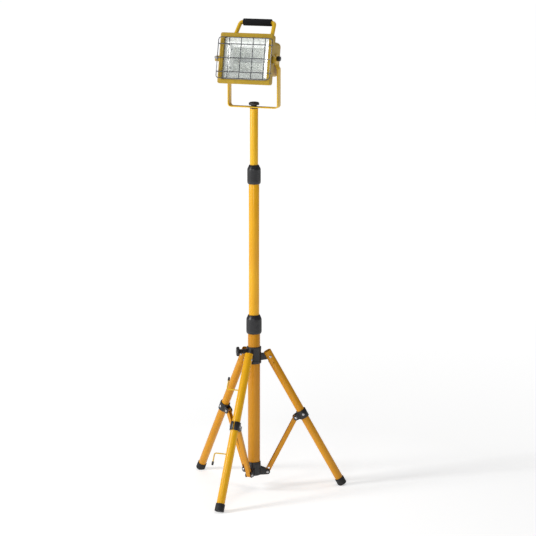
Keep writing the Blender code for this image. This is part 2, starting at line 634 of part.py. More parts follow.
def housing():
    wall, side = 2 * SHELL_WALL, BODY_SIZE[0] / 2
    shoulder = block(SHOULDER_SIZE, 0.007, SHOULDER_FRONT, SHOULDER_BACK, FRONT_DROP)
    body = block(BODY_SIZE, 0.012, SHOULDER_BACK - 0.002, BODY_BACK, BODY_DROP)
    wide = block((SHOULDER_SIZE[0] - wall, SHOULDER_SIZE[1] - wall), 0.005,
                 SHOULDER_FRONT - 0.01, SHOULDER_BACK - SHELL_WALL, FRONT_DROP)
    deep = block((BODY_SIZE[0] - wall, BODY_SIZE[1] - wall), 0.009,
                 SHOULDER_BACK - 0.01, BODY_BACK - SHELL_WALL, BODY_DROP)
    shell = cut(join(shoulder, body), wide, deep)
    additions, cutters = [], [moved(rod(0.0060, 0, 0.03), ALONG_Y, (0, 0.030, BODY_DROP))]
    for turn in (ALONG_X, ALONG_MINUS_X):
        additions.append(moved(rod(0.0180, side - 0.0010, side + 0.0019, LEG_SIDES), turn))
        additions.append(moved(rod(0.0090, side - 0.0120, side - 0.0020), turn))
        cutters.append(moved(rod(0.0044, side - 0.0100, side + 0.02), turn))
    fork = panel(rounded([(LATCH_X - 0.006, -0.008), (-0.0905, -0.008), (-0.0905, 0.008),
                          (LATCH_X - 0.006, 0.008)], (0.003, 0, 0, 0.003)),
                 SHOULDER_FRONT + GAP, SHOULDER_FRONT + 0.0050)
    throat = panel([(LATCH_X - 0.02, -0.0032), (LATCH_X + 0.0045, -0.0032),
                    (LATCH_X + 0.0045, 0.0032), (LATCH_X - 0.02, 0.0032)], -0.08, -0.05)
    cutters.append(moved(throat, to=(0, 0, FRONT_DROP)))
    additions.append(moved(fork, to=(0, 0, FRONT_DROP)))
    x, y = HINGE_AXIS
    for low in (FRONT_DROP - 0.0120, FRONT_DROP + 0.0042):
        high = low + 0.0078
        additions.append(moved(rod(KNUCKLE_RADIUS, low, high), to=(x, y, 0)))
        low, high = low + GAP, high - GAP
        additions.append(panel([(0.0900, low), (x + 0.0030, low), (x + 0.0030, high),
                                (0.0900, high)], SHOULDER_FRONT + GAP, SHOULDER_FRONT + 0.006))
        low, high = low + GAP, high - GAP
        additions.append(panel([(x - 0.0010, low), (x + 0.0028, low), (x + 0.0028, high),
                                (x - 0.0010, high)], y, SHOULDER_FRONT + 0.002))
    cutters.append(moved(rod(0.0021, -0.04, 0.03), to=(x, y, 0)))
    return cut(join(shell, *additions), *cutters)


def reflector():
    """Flared trough: rectangular rings from the rim to the back, inside and outside."""
    rim_y, mouth_y, depth = SHOULDER_FRONT + 0.0005, -0.0510, 0.072
    rim_half, mouth_half = (0.0855, 0.0770), (0.0520, 0.0392)
    rings = [(*rim_half, rim_y), (rim_half[0] - 0.006, rim_half[1] - 0.007, rim_y),
             (*mouth_half, mouth_y)]
    for step in range(1, 8):
        angle = radians(step * 11)
        rings.append((mouth_half[0], mouth_half[1] * cos(angle), mouth_y + depth * sin(angle)))
    skin = 0.0014
    outside = [(w + skin, h + skin, y + skin) for w, h, y in reversed(rings[1:])]
    outside.append((rings[0][0], rings[0][1], rings[0][2] + skin))
    outside[0] = (rings[-1][0] + skin, rings[-1][1] + skin, rings[-1][2] + skin)
    bm = bmesh.new()
    loops = []
    for w, h, y in rings + outside:
        corners = ((-w, -h), (w, -h), (w, h), (-w, h))
        loops.append([bm.verts.new((x, y, z)) for x, z in corners])
    inner_end = len(rings) - 1
    for k, loop in enumerate(loops):
        following = loops[(k + 1) % len(loops)]
        if k == inner_end:
            bm.faces.new(loop)
            bm.faces.new(following)
            continue
        for corner in range(4):
            after = (corner + 1) % 4
            bm.faces.new([loop[corner], loop[after], following[after], following[corner]])
    lamp_hole = moved(rod(0.0085, -0.10, 0.10), ALONG_X, (0, LAMP_Y, 0))
    return cut(mesh_from(bm), lamp_hole)


def handle():
    """Bent round bar over the top, leaning back, on two round foot pads."""
    (x, foot_y), (top_x, top_y, top_z) = HANDLE_FOOT, HANDLE_TOP
    seat = BODY_DROP + BODY_SIZE[1] / 2 + GAP
    foot_z = seat + 0.0030
    path = rounded([(-x, foot_y, foot_z), (-top_x, top_y, top_z), (top_x, top_y, top_z),
                    (x, foot_y, foot_z)], (0, 0.010, 0.010, 0), 6)
    bar = wire(path, 0.0067, 3)
    pads = [moved(rod(0.0095, seat, seat + 0.0070, LEG_SIDES), to=(side * x, foot_y, 0))
            for side in (-1, 1)]
    return join(bar, *pads)


def build_body(head, paints):
    yellow, black = paints["head_yellow"], paints["black_plastic"]
    finish("rear_housing", housing(), yellow, head)
    finish("handle", handle(), paints["leg_yellow"], head)
    grip = moved(tube(0.0122, 0.0053, -0.0505, 0.0505, LEG_SIDES), ALONG_X, (0, *HANDLE_TOP[1:]))
    finish("handle_grip", grip, paints["foam"], head)

    box_size, box_back = (0.084, 0.056), BODY_BACK + 0.027
    shell = block(box_size, 0.008, BODY_BACK + GAP, box_back, BODY_DROP)
    hollow = block((box_size[0] - 0.005, box_size[1] - 0.005), 0.006,
                   BODY_BACK - 0.01, box_back - 0.0025, BODY_DROP)
    gland_place = (0, BODY_BACK + 0.0135, BODY_DROP - box_size[1] / 2)
    gland_hole = moved(rod(0.0063, -0.01, 0.01), to=gland_place)
    finish("terminal_box", cut(shell, hollow, gland_hole), black, head)
    gland = [(0.0042, -0.024), (0.0065, -0.024), (0.0085, -0.021), (0.0085, -0.008),
             (0.0100, -0.007), (0.0100, -GAP), (0.0060, -GAP), (0.0060, 0.006), (0.0042, 0.006)]
    finish("cable_gland", moved(turned(gland, SMALL_SIDES), to=gland_place), black, head)

    side = BODY_SIZE[0] / 2
    ear_face = YOKE_EAR_SPAN + YOKE_THICKNESS / 2 + GAP
    knob = [(0, side - 0.008), (0.0040, side - 0.008), (0.0040, ear_face), (0.0075, ear_face),
            (0.0085, ear_face + 0.002), (0.0085, ear_face + 0.010), (0.0065, ear_face + 0.0125),
            (0, ear_face + 0.0130)]
    for name, turn in (("tilt_knob_right", ALONG_X), ("tilt_knob_left", ALONG_MINUS_X)):
        finish(name, moved(turned(knob, SMALL_SIDES), turn), black, head)


def build_lamp(front, paints):
    finish("reflector", reflector(), paints["reflector"], front)
    lamp = [(0, -0.0565), (0.0038, -0.0565), (0.0038, -0.0470), (0.0055, -0.0440),
            (0.0055, 0.0440), (0.0038, 0.0470), (0.0038, 0.0565), (0, 0.0565)]
    finish("lamp", moved(turned(lamp, SMALL_SIDES), ALONG_X, (0, LAMP_Y, 0)), paints["glass"],
           front)
    for name, side in (("lampholder_left", -1), ("lampholder_right", 1)):
        near, far = sorted((side * 0.0568, side * 0.0646))
        outline = rounded([(LAMP_Y - 0.010, -0.010), (LAMP_Y + 0.012, -0.010),
                           (LAMP_Y + 0.012, 0.010), (LAMP_Y - 0.010, 0.010)], [0.003] * 4)
        finish(name, side_plate(outline, near, far), paints["ceramic"], front)


def build_door(front, paints):
    door = empty("door_hinge", front, (*HINGE_AXIS, 0))
    back = Matrix.Translation((-HINGE_AXIS[0], -HINGE_AXIS[1], 0))
    finish("front_frame", moved(front_frame(), back), paints["head_yellow"], door)
    glass_size = (WINDOW_SIZE[0] + 0.0114, WINDOW_SIZE[1] + 0.0114)
    glass_front = BEZEL_BACK - 0.0054 + GAP
    glass = block(glass_size, 0.0055, glass_front, glass_front + 0.004)
    finish("lens_glass", moved(glass, back), paints["glass"], door)
    gasket = block(glass_size, 0.0055, glass_front + 0.0043, BEZEL_BACK + GAP)
    opening = block(WINDOW_SIZE, 0.0045, BEZEL_FRONT, SHOULDER_BACK)
    finish("lens_gasket", moved(cut(gasket, opening), back), paints["black_rubber"], door)
    finish("wire_guard", moved(wire_guard(), back), paints["chrome_wire"], door)
    pin = [(0, -0.0142), (0.0030, -0.0142), (0.0030, -0.0123), (0.0018, -0.0123),
           (0.0018, 0.0123), (0.0030, 0.0123), (0.0030, 0.0142), (0, 0.0142)]
    finish("hinge_pin", moved(turned(pin, 12), to=(*HINGE_AXIS, 0)), paints["steel"], front)

    latch = empty("latch_axis", front, (LATCH_X, -0.0760, 0))
    screw = moved(turned([(0, -0.0030), (0.0045, -0.0030), (0.0045, -GAP), (0.0025, -GAP),
                          (0.0025, 0.0220), (0, 0.0220)], 12), ALONG_Y)
    wing = panel(rounded([(-0.0085, -0.0030), (0.0085, -0.0030), (0.0085, 0.0030),
                          (-0.0085, 0.0030)], [0.0028] * 4), -0.0050, -0.0022)
    finish("latch_screw", join(screw, wing), paints["steel"], latch)


def main():
    clear_scene()
    paints = make_materials()
    mast = empty("mast_axis", None, (0, mast_shift(), 0))
    build_mast(mast, paints)
    build_hubs(mast, paints)
    build_legs(mast, paints)
    build_yoke(mast, paints)
    head = empty("tilt_axis", mast, (0, 0, TILT_HEIGHT), (-TILT, 0, 0))
    front = empty("front_centre", head, (0, 0, FRONT_DROP))
    build_body(head, paints)
    build_lamp(front, paints)
    build_door(front, paints)


main()
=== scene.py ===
"""Looks for the tripod work light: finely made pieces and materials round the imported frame.

Metres, +Z up, the lamp faces -Y.  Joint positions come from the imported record.  Sizes repeat
those of the CAD model, and each piece rides on the body of the node that it stands for.
"""
import json
from math import atan2, cos, hypot, pi, radians, sin, tan

import bmesh
import bpy
from mathutils import Matrix, Vector


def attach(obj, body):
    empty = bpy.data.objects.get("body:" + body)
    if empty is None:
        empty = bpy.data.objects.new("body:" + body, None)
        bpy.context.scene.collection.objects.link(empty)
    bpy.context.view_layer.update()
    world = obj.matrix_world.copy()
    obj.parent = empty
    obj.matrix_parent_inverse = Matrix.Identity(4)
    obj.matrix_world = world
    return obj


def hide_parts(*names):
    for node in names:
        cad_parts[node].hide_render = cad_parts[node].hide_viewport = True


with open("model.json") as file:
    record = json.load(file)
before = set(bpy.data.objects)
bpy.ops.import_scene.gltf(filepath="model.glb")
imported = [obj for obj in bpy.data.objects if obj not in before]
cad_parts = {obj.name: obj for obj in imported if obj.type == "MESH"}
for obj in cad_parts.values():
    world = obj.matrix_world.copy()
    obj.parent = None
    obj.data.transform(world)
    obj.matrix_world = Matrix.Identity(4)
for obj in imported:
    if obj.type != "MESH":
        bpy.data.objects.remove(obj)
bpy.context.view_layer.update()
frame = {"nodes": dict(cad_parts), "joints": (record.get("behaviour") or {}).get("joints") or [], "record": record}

GAP = 0.0003
LOWER_RADIUS, LOWER_WALL = 0.0210, 0.0016
MIDDLE_RADIUS, MIDDLE_WALL = 0.0180, 0.0015
UPPER_RADIUS, UPPER_WALL = 0.0140, 0.0014
LOWER_BOTTOM, LOWER_TOP = 0.0545, 0.586
MIDDLE_BOTTOM, MIDDLE_TOP = 0.511, 1.111
UPPER_BOTTOM, UPPER_TOP = 0.839, 1.326
LOWER_NUT_BOTTOM, UPPER_NUT_BOTTOM = 0.552, 1.070
NUT_HEIGHT = 0.065
LOWER_NUT_RADIUS, UPPER_NUT_RADIUS = 0.0265, 0.0231

LEG_AZIMUTHS = {"front": -90.0, "right": 30.0, "left": 150.0}
CLAMP_AZIMUTH = 210
LEG_LEAN = radians(28.9)
LEG_PIVOT_RADIUS, LEG_PIVOT_HEIGHT = 0.055, 0.470
LEG_RADIUS, LEG_WALL = 0.0140, 0.0015
LEG_TOP = 0.021
BRACKET_DROP, BRACE_OFFSET = 0.237, 0.028
BASE_PIVOT_RADIUS, BASE_PIVOT_HEIGHT = 0.046, 0.060
BRACE_WIDTH, BRACE_DEPTH, BRACE_WALL = 0.0144, 0.0150, 0.0015
BRACE_SLOT = 0.0127
CHEEK, CHEEK_INSIDE = 0.0034, BRACE_WIDTH / 2 + 0.0004
RIVET_RADIUS = 0.0025
BRACKET_RADIUS = LEG_RADIUS + 0.0036
FOOT_RADIUS, FOOT_LENGTH = 0.0162, 0.026
SOLE_LIFT = 0.004
HOOK_RADIUS, HOOK_REACH, HOOK_RISE = 0.0022, 0.056, 0.040
HOOK_DROPS = {"upper": 0.110, "lower": 0.335}

YOKE_WIDTH, YOKE_THICKNESS = 0.028, 0.0035
YOKE_BOTTOM = 1.3295
YOKE_HALF_SPAN, YOKE_EAR_SPAN = 0.0893, 0.0810
STUD, STUD_HOLE = 0.0040, 0.0044
TILT = radians(12.0)
FRONT_DROP, BODY_DROP = -0.012, 0.000
BEZEL_FRONT, BEZEL_BACK = -0.0800, -0.0676
BEZEL_SIZE, WINDOW_SIZE = (0.187, 0.170), (0.160, 0.140)
GLASS_SEAT, GLASS_THICKNESS = BEZEL_BACK - 0.0054, 0.004
SHOULDER_FRONT, SHOULDER_BACK = -0.0670, -0.0470
SHOULDER_SIZE = (0.183, 0.166)
BODY_BACK, BODY_SIZE = 0.0460, (0.154, 0.114)
SHELL_WALL = 0.003
TERMINAL_BACK, TERMINAL_SIZE = BODY_BACK + 0.027, (0.084, 0.056)
GLAND_PLACE = (0, BODY_BACK + 0.0135, BODY_DROP - 0.028)
GUARD_FRONT, GUARD_WIRE = -0.0885, 0.0015
GUARD_HALF = (0.0958, 0.0685)
GUARD_ROWS = (-0.0465, 0.0, 0.0465)
GUARD_COLUMNS = (-0.0575, -0.0148, 0.0278, 0.0705)
HINGE_AXIS = (0.0981, -0.0693)
KNUCKLE_RADIUS, HINGE_BORE = 0.0038, 0.0021
LATCH_X, LATCH_Y, LATCH_END = -0.1035, -0.0760, -0.1095
LAMP_Y = -0.008
FLOOR_RADIUS = 60.0
HANDLE_FOOT, HANDLE_TOP = (0.0675, -0.0255), (0.0610, 0.0085, 0.1205)

FINE, MEDIUM, SMALL = 96, 64, 32      # sides of round shapes
ON_AXIS = 1e-7
THROUGH = 0.03                        # half the length of a cutter that passes right through


def joint_point(name):
    """A joint's position in the row frame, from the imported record."""
    found = next(joint for joint in frame["joints"] if joint["name"] == name)
    return Vector(found["pos_m"])


NODE_BODY = {node: body
             for body, members in frame["record"]["behaviour"]["bodies"].items()
             for node in members}
MAST = Matrix.Translation((0, joint_point("yoke_swivel").y, 0))
HEAD = Matrix.Translation((0, *joint_point("head_tilt").yz)) @ Matrix.Rotation(-TILT, 4, "X")
FRONT = HEAD @ Matrix.Translation((0, 0, FRONT_DROP))


# ---------------------------------------------------------------- materials

class Look:
    """A material with its Principled shader and short calls to add procedural detail."""

    def __init__(self, name, colour, roughness, metallic=0.0, **sockets):
        self.name = name
        self.material = bpy.data.materials.new(name)
        self.material.use_nodes = True
        self.tree = self.material.node_tree
        self.shader = self.tree.nodes["Principled BSDF"]
        self.colour = (*colour, 1.0)
        self.put("Base Color", self.colour)
        self.put("Roughness", roughness)
        self.put("Metallic", metallic)
        for key, value in sockets.items():
            self.put(key.replace("_", " "), value)
        self.place = self.tree.nodes.new("ShaderNodeTexCoord").outputs["Object"]
        self.normal = None

    def put(self, socket, value):
        self.shader.inputs[socket].default_value = value

    def node(self, kind, **values):
        made = self.tree.nodes.new("ShaderNode" + kind)
        for key, value in values.items():
            if hasattr(made, key):
                setattr(made, key, value)
            else:
                made.inputs[key].default_value = value
        return made

    def link(self, source, target):
        self.tree.links.new(source, target)

    def noise(self, scale, detail=3.0, stretch=(1, 1, 1)):
        mapping = self.node("Mapping", Scale=stretch)
        self.link(self.place, mapping.inputs["Vector"])
        noise = self.node("TexNoise", Scale=scale, Detail=detail)
        self.link(mapping.outputs["Vector"], noise.inputs["Vector"])
        return noise.outputs["Fac"]

    def cells(self, scale):
        cells = self.node("TexVoronoi", Scale=scale)
        self.link(self.place, cells.inputs["Vector"])
        return cells.outputs["Distance"]

    def spread(self, source, low, high, to_low, to_high):
        spread = self.node("MapRange")
        for socket, value in zip(("From Min", "From Max", "To Min", "To Max"),
                                 (low, high, to_low, to_high)):
            spread.inputs[socket].default_value = value
        self.link(source, spread.inputs["Value"])
        return spread.outputs["Result"]

    def tint(self, source, other, low, high, most=1.0):
        """Mix another colour in where the pattern goes from low to high."""
        mix = self.tree.nodes.new("ShaderNodeMix")
        mix.data_type = "RGBA"
        before = self.shader.inputs["Base Color"]
        if before.links:
            self.link(before.links[0].from_socket, mix.inputs["A"])
        else:
            mix.inputs["A"].default_value = self.colour
        mix.inputs["B"].default_value = (*other, 1.0)
        self.link(self.spread(source, low, high, 0.0, most), mix.inputs["Factor"])
        self.link(mix.outputs["Result"], before)

    def gloss(self, source, low, high):
        self.link(self.spread(source, 0.3, 0.7, low, high), self.shader.inputs["Roughness"])

    def bump(self, source, strength, distance):
        bump = self.node("Bump", Strength=strength, Distance=distance)
        self.link(source, bump.inputs["Height"])
        if self.normal:
            self.link(self.normal, bump.inputs["Normal"])
        self.normal = bump.outputs["Normal"]
        self.link(self.normal, self.shader.inputs["Normal"])


def painted(name, colour, darker, roughness, coat):
    """Enamel over metal: faint colour drift, small dust marks and orange-peel."""
    look = Look(name, colour, roughness, Specular_IOR_Level=0.28,
                Coat_Weight=coat, Coat_Roughness=0.16)
    look.tint(look.noise(7.0), darker, 0.35, 0.75, 0.55)
    dusty = tuple(c * 0.72 for c in colour)
    look.tint(look.noise(55.0, 6.0, (1, 1, 0.25)), dusty, 0.66, 0.80, 0.5)
    look.gloss(look.noise(30.0, 4.0), roughness - 0.06, roughness + 0.10)
    look.bump(look.noise(420.0, 2.0), 0.10, 0.00025)
    look.bump(look.noise(60.0, 2.0), 0.06, 0.0006)
    return look


def plastic(name, colour, roughness, grain):
    """Moulded plastic with a fine grain and slightly paler rubbed patches."""
    look = Look(name, colour, roughness, Specular_IOR_Level=0.5)
    look.tint(look.noise(40.0, 5.0), tuple(c * 2.0 for c in colour), 0.55, 0.80, 0.5)
    look.gloss(look.noise(90.0, 3.0), roughness - 0.07, roughness + 0.10)
    look.bump(look.noise(grain, 2.0), 0.25, 0.0002)
    return look


PAINTS = {          # colour, its darker patches, roughness and clear coat
    "mast_yellow": ((0.80, 0.40, 0.005), (0.66, 0.29, 0.004), 0.32, 0.12),
    "leg_yellow": ((0.69, 0.300, 0.005), (0.52, 0.20, 0.004), 0.34, 0.12),
    "shaded_yellow": ((0.62, 0.265, 0.005), (0.48, 0.18, 0.004), 0.34, 0.12),
    # A paler copy of the mast paint for the upper tube: painted light.
    "upper_painted_light_yellow": ((0.82, 0.47, 0.012), (0.68, 0.35, 0.008), 0.32, 0.12),
    # A brighter copy of the leg paint for the front leg: painted light.
    "front_painted_light_yellow": ((0.84, 0.44, 0.006), (0.70, 0.32, 0.005), 0.32, 0.12),
    "head_yellow": ((0.43, 0.275, 0.014), (0.30, 0.19, 0.010), 0.48, 0.10),
    "yoke_yellow": ((0.74, 0.46, 0.012), (0.56, 0.32, 0.010), 0.38, 0.20),
}


def make_looks():
    looks = [painted(name, *values) for name, values in PAINTS.items()]
    looks.append(plastic("black_plastic", (0.011, 0.011, 0.013), 0.36, 900.0))
    looks.append(plastic("black_rubber", (0.010, 0.010, 0.010), 0.66, 500.0))

    foam = Look("foam", (0.008, 0.009, 0.011), 0.92, Specular_IOR_Level=0.25)
    foam.tint(foam.cells(700.0), (0.004, 0.004, 0.005), 0.30, 0.75, 0.9)
    foam.bump(foam.cells(700.0), 0.7, 0.0006)
    foam.bump(foam.noise(45.0, 3.0), 0.3, 0.0012)

    steel = Look("steel", (0.50, 0.50, 0.52), 0.30, 1.0)
    steel.tint(steel.noise(260.0, 4.0), (0.30, 0.30, 0.31), 0.50, 0.78, 0.7)
    steel.gloss(steel.noise(350.0, 4.0), 0.20, 0.42)
    steel.bump(steel.noise(900.0, 2.0), 0.12, 0.0001)

    wire_look = Look("chrome_wire", (0.15, 0.155, 0.17), 0.34, 1.0)
    wire_look.tint(wire_look.noise(120.0, 4.0), (0.09, 0.09, 0.10), 0.48, 0.75, 0.8)
    wire_look.gloss(wire_look.noise(200.0, 3.0), 0.18, 0.36)

    mirror = Look("reflector", (0.96, 0.97, 0.95), 0.24, 0.50)
    mirror.tint(mirror.noise(35.0, 3.0), (0.82, 0.85, 0.80), 0.40, 0.75, 0.6)
    mirror.gloss(mirror.noise(60.0, 3.0), 0.14, 0.26)
    mirror.bump(mirror.noise(260.0, 2.0), 0.12, 0.0003)

    pane = Look("glass", (0.86, 0.93, 0.90), 0.03, Alpha=0.13, IOR=1.5)
    pane.gloss(pane.noise(20.0, 3.0), 0.02, 0.07)

    quartz = Look("quartz", (0.50, 0.51, 0.52), 0.10, Alpha=0.80, IOR=1.46)
    quartz.tint(quartz.noise(120.0, 2.0, (0.3, 1, 1)), (0.30, 0.31, 0.31), 0.45, 0.75, 0.7)

    fired = Look("ceramic", (0.80, 0.78, 0.72), 0.55)
    fired.tint(fired.noise(160.0, 5.0), (0.62, 0.58, 0.50), 0.50, 0.80, 0.6)
    fired.bump(fired.noise(800.0, 2.0), 0.2, 0.0002)

    dark_steel = Look("screw_steel", (0.05, 0.05, 0.055), 0.45, 0.6)
    dark_steel.tint(dark_steel.noise(400.0, 4.0), (0.02, 0.02, 0.02), 0.45, 0.75, 0.7)

    looks += [foam, steel, wire_look, mirror, pane, quartz, fired, dark_steel]
    return {look.name: look for look in looks}


LOOKS = make_looks()


# ---------------------------------------------------------------- shapes

def mesh_from(bm):
    bmesh.ops.recalc_face_normals(bm, faces=bm.faces)
    mesh = bpy.data.meshes.new("shape")
    bm.to_mesh(mesh)
    bm.free()
    return mesh


def shown(name, data):
    """Add an object with this data to the scene."""
    thing = bpy.data.objects.new(name, data)
    bpy.context.collection.objects.link(thing)
    return thing


def evaluated(thing):
    """The object's mesh with its modifiers applied."""
    graph = bpy.context.evaluated_depsgraph_get()
    return bpy.data.meshes.new_from_object(thing.evaluated_get(graph))


def rectangle(x_low, x_high, y_low, y_high):
    return [(x_low, y_low), (x_high, y_low), (x_high, y_high), (x_low, y_high)]


def turned(outline, sides):
    """Turn a closed (radius, height) outline about Z."""
    bm = bmesh.new()
    rings = []
    for radius, height in outline:
        count = 1 if radius < ON_AXIS else sides
        angles = [2 * pi * k / sides for k in range(count)]
        rings.append([bm.verts.new((radius * cos(a), radius * sin(a), height)) for a in angles])
    for ring, following in zip(rings, rings[1:] + rings[:1]):
        if len(ring) == 1 and len(following) == 1:
            continue
        for k in range(sides):
            corners = [ring[k % len(ring)], ring[(k + 1) % sides % len(ring)],
                       following[(k + 1) % sides % len(following)], following[k % len(following)]]
            bm.faces.new(list(dict.fromkeys(corners)))
    return mesh_from(bm)


def eased(outline, radius, steps=3):
    """Round every corner of a closed (radius, height) outline that lies off the axis."""
    radii = []
    count = len(outline)
    for k, corner in enumerate(outline):
        before, after = Vector(outline[k - 1]), Vector(outline[(k + 1) % count])
        here = Vector(corner)
        room = min((before - here).length, (after - here).length) * 0.45
        straight = (here - before).angle(after - here) < radians(8)
        radii.append(0 if corner[0] < ON_AXIS or straight else min(radius, room))
    return rounded(outline, radii, steps, by_length=True)


def tube(outer, wall, low, high, sides, edge=0.0004):
    return turned(eased(rectangle(outer - wall, outer, low, high), edge, 2), sides)


def rod(radius, low, high, sides=SMALL):
    return turned(rectangle(0, radius, low, high), sides)


def inset(outline, amount):
    """Move a polygon's corners inward, keeping its sides parallel."""
    count = len(outline)
    area = sum(outline[k - 1][0] * outline[k][1] - outline[k][0] * outline[k - 1][1]
               for k in range(count))
    side = 1 if area > 0 else -1
    result = []
    for k in range(count):
        here = Vector(outline[k])
        back = (here - Vector(outline[k - 1])).normalized()
        ahead = (Vector(outline[(k + 1) % count]) - here).normalized()
        normals = [Vector((-d.y, d.x)) * side for d in (back, ahead)]
        middle = normals[0] + normals[1]
        result.append(tuple(here + middle * amount / max(0.3, middle.dot(normals[0]))))
    return result


def prism(outline, low, high, edge=0.0):
    """Extrude an (x, y) outline from z = low to z = high, with rounded rims if edge is given."""
    layers = [(0.0, low), (0.0, high)]
    if edge:
        arc = [radians(angle) for angle in (0, 30, 60, 90)]
        layers = [(edge * (1 - sin(a)), low + edge * (1 - cos(a))) for a in arc]
        layers += [(edge * (1 - sin(a)), high - edge * (1 - cos(a))) for a in reversed(arc)]
    bm = bmesh.new()
    rings = []
    for amount, height in layers:
        shape = inset(outline, amount) if amount else outline
        rings.append([bm.verts.new((x, y, height)) for x, y in shape])
    bm.faces.new(rings[0])
    bm.faces.new(rings[-1])
    for ring, following in zip(rings, rings[1:]):
        for k in range(len(outline)):
            after = (k + 1) % len(outline)
            bm.faces.new([ring[k], ring[after], following[after], following[k]])
    return mesh_from(bm)


def rounded(corners, radii, steps=6, by_length=False):
    """Replace each corner by an arc; a radius of 0 keeps it.  by_length gives cut lengths."""
    count = len(corners)
    points = [Vector(corner) for corner in corners]
    result = []
    for k, (point, radius) in enumerate(zip(points, radii)):
        if radius == 0:
            result.append(tuple(point))
            continue
        back = (points[k - 1] - point).normalized()
        ahead = (points[(k + 1) % count] - point).normalized()
        half = back.angle(ahead) / 2
        if by_length:
            radius = radius * tan(half)
        start, end = point + back * radius / tan(half), point + ahead * radius / tan(half)
        centre = point + (back + ahead).normalized() * radius / sin(half)
        sweep = pi - 2 * half
        for step in range(steps + 1):
            share = step / steps
            first, last = start - centre, end - centre
            weight = (sin((1 - share) * sweep) / sin(sweep), sin(share * sweep) / sin(sweep))
            result.append(tuple(centre + first * weight[0] + last * weight[1]))
    return result


def rounded_box(size, radius, steps=6):
    x, y = size[0] / 2, size[1] / 2
    return rounded(rectangle(-x, x, -y, y), [radius] * 4, steps)


def wire(path, radius, sides_level=4, loop=False):
    """A round wire along a path, as a mesh."""
    curve = bpy.data.curves.new("wire", "CURVE")
    curve.dimensions = "3D"
    curve.bevel_depth = radius
    curve.bevel_resolution = sides_level
    curve.render_resolution_u = 0
    curve.use_fill_caps = not loop
    spline = curve.splines.new("POLY")
    spline.points.add(len(path) - 1)
    for point, place in zip(spline.points, path):
        point.co = (*place, 1.0)
    spline.use_cyclic_u = loop
    guide = shown("wire", curve)
    mesh = evaluated(guide)
    bpy.data.objects.remove(guide)
    bm = bmesh.new()
    bm.from_mesh(mesh)
    bmesh.ops.remove_doubles(bm, verts=bm.verts, dist=0.00001)
    return mesh_from(bm)


def moved(mesh, turn=None, to=(0, 0, 0)):
    mesh.transform(Matrix.Translation(to) @ (turn if turn else Matrix.Identity(4)))
    return mesh


ALONG_X = Matrix.Rotation(pi / 2, 4, "Y")          # sends +Z to +X
ALONG_MINUS_X = Matrix.Rotation(-pi / 2, 4, "Y")   # sends +Z to -X
ALONG_Y = Matrix.Rotation(-pi / 2, 4, "X")         # sends +Z to +Y, and +Y to -Z
FACING_Y = Matrix.Rotation(pi / 2, 4, "X")         # sends +Z to -Y, and +Y to +Z
FACING_X = Matrix(((0, 0, 1, 0), (1, 0, 0, 0), (0, 1, 0, 0), (0, 0, 0, 1)))  # x, y, z to y, z, x


def panel(outline, front, back, edge=0.0):
    """Extrude an (x, z) outline from y = front to y = back."""
    return moved(prism(outline, -back, -front, edge), FACING_Y)


def block(size, radius, front, back, drop=0.0, edge=0.0):
    """Box with rounded edges along Y, centred at this height."""
    return moved(panel(rounded_box(size, radius), front, back, edge), to=(0, 0, drop))


def side_plate(outline, low, high, edge=0.0):
    """Extrude a (y, z) outline from x = low to x = high."""
    return moved(prism(outline, low, high, edge), FACING_X)


def combine(base, tools, operation):
    """Apply a Boolean of the base mesh with each tool mesh."""
    thing = shown("base", base)
    for tool_mesh in tools:
        tool = shown("tool", tool_mesh)
        step = thing.modifiers.new("step", "BOOLEAN")
        step.operation = operation
        step.solver = "EXACT"
        step.object = tool
        result = evaluated(thing)
        thing.modifiers.clear()
        thing.data = result
        bpy.data.objects.remove(tool)
    mesh = thing.data
    bpy.data.objects.remove(thing)
    return mesh


def join(base, *tools):
    return combine(base, tools, "UNION")


def cut(base, *tools):
    return combine(base, tools, "DIFFERENCE")


def common(base, *tools):
    return combine(base, tools, "INTERSECT")


def gathered(meshes):
    """Put separate closed meshes in one, without a Boolean."""
    bm = bmesh.new()
    for mesh in meshes:
        bm.from_mesh(mesh)
    return mesh_from(bm)


def ribbed(mesh, count, depth, low, high, floor, flat=1.0):
    """Press count grooves along Z into the surface beyond a radius and between two heights."""
    for vertex in mesh.vertices:
        x, y, z = vertex.co
        radius = hypot(x, y)
        if low <= z <= high and radius > floor:
            wave = min(1.0, max(0.0, 0.5 + flat * cos(count * atan2(y, x))))
            scale = (radius - depth * wave) / radius
            vertex.co.x, vertex.co.y = x * scale, y * scale
    return mesh


def rivet_hole(x=0, z=0):
    """Cutter for a rivet along Y."""
    return moved(rod(RIVET_RADIUS + GAP, -THROUGH, THROUGH), FACING_Y, (x, 0, z))


def pair_of_cheeks(outline):
    """Two plates that a brace's end fits between, seen in (x, z)."""
    return [panel(outline, *sorted((side * CHEEK_INSIDE, side * (CHEEK_INSIDE + CHEEK))), 0.0006)
            for side in (-1, 1)]


def piece(name, mesh, place, look, *nodes, body=None, sharp=35):
    """Make a shown piece in the row frame; it stands for these nodes and rides on their body."""
    mesh.transform(place)
    mesh.materials.clear()
    mesh.materials.append(LOOKS[look].material)
    mesh.shade_smooth()
    mesh.set_sharp_from_angle(angle=radians(sharp))
    thing = shown(name, mesh)
    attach(thing, body or NODE_BODY[nodes[0]])
    if nodes:
        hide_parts(*nodes)
    return thing


def keep(look, *nodes):
    """Leave a CAD node showing, with a better material."""
    for node in nodes:
        for material_slot in frame["nodes"][node].material_slots:
            material_slot.material = LOOKS[look].material


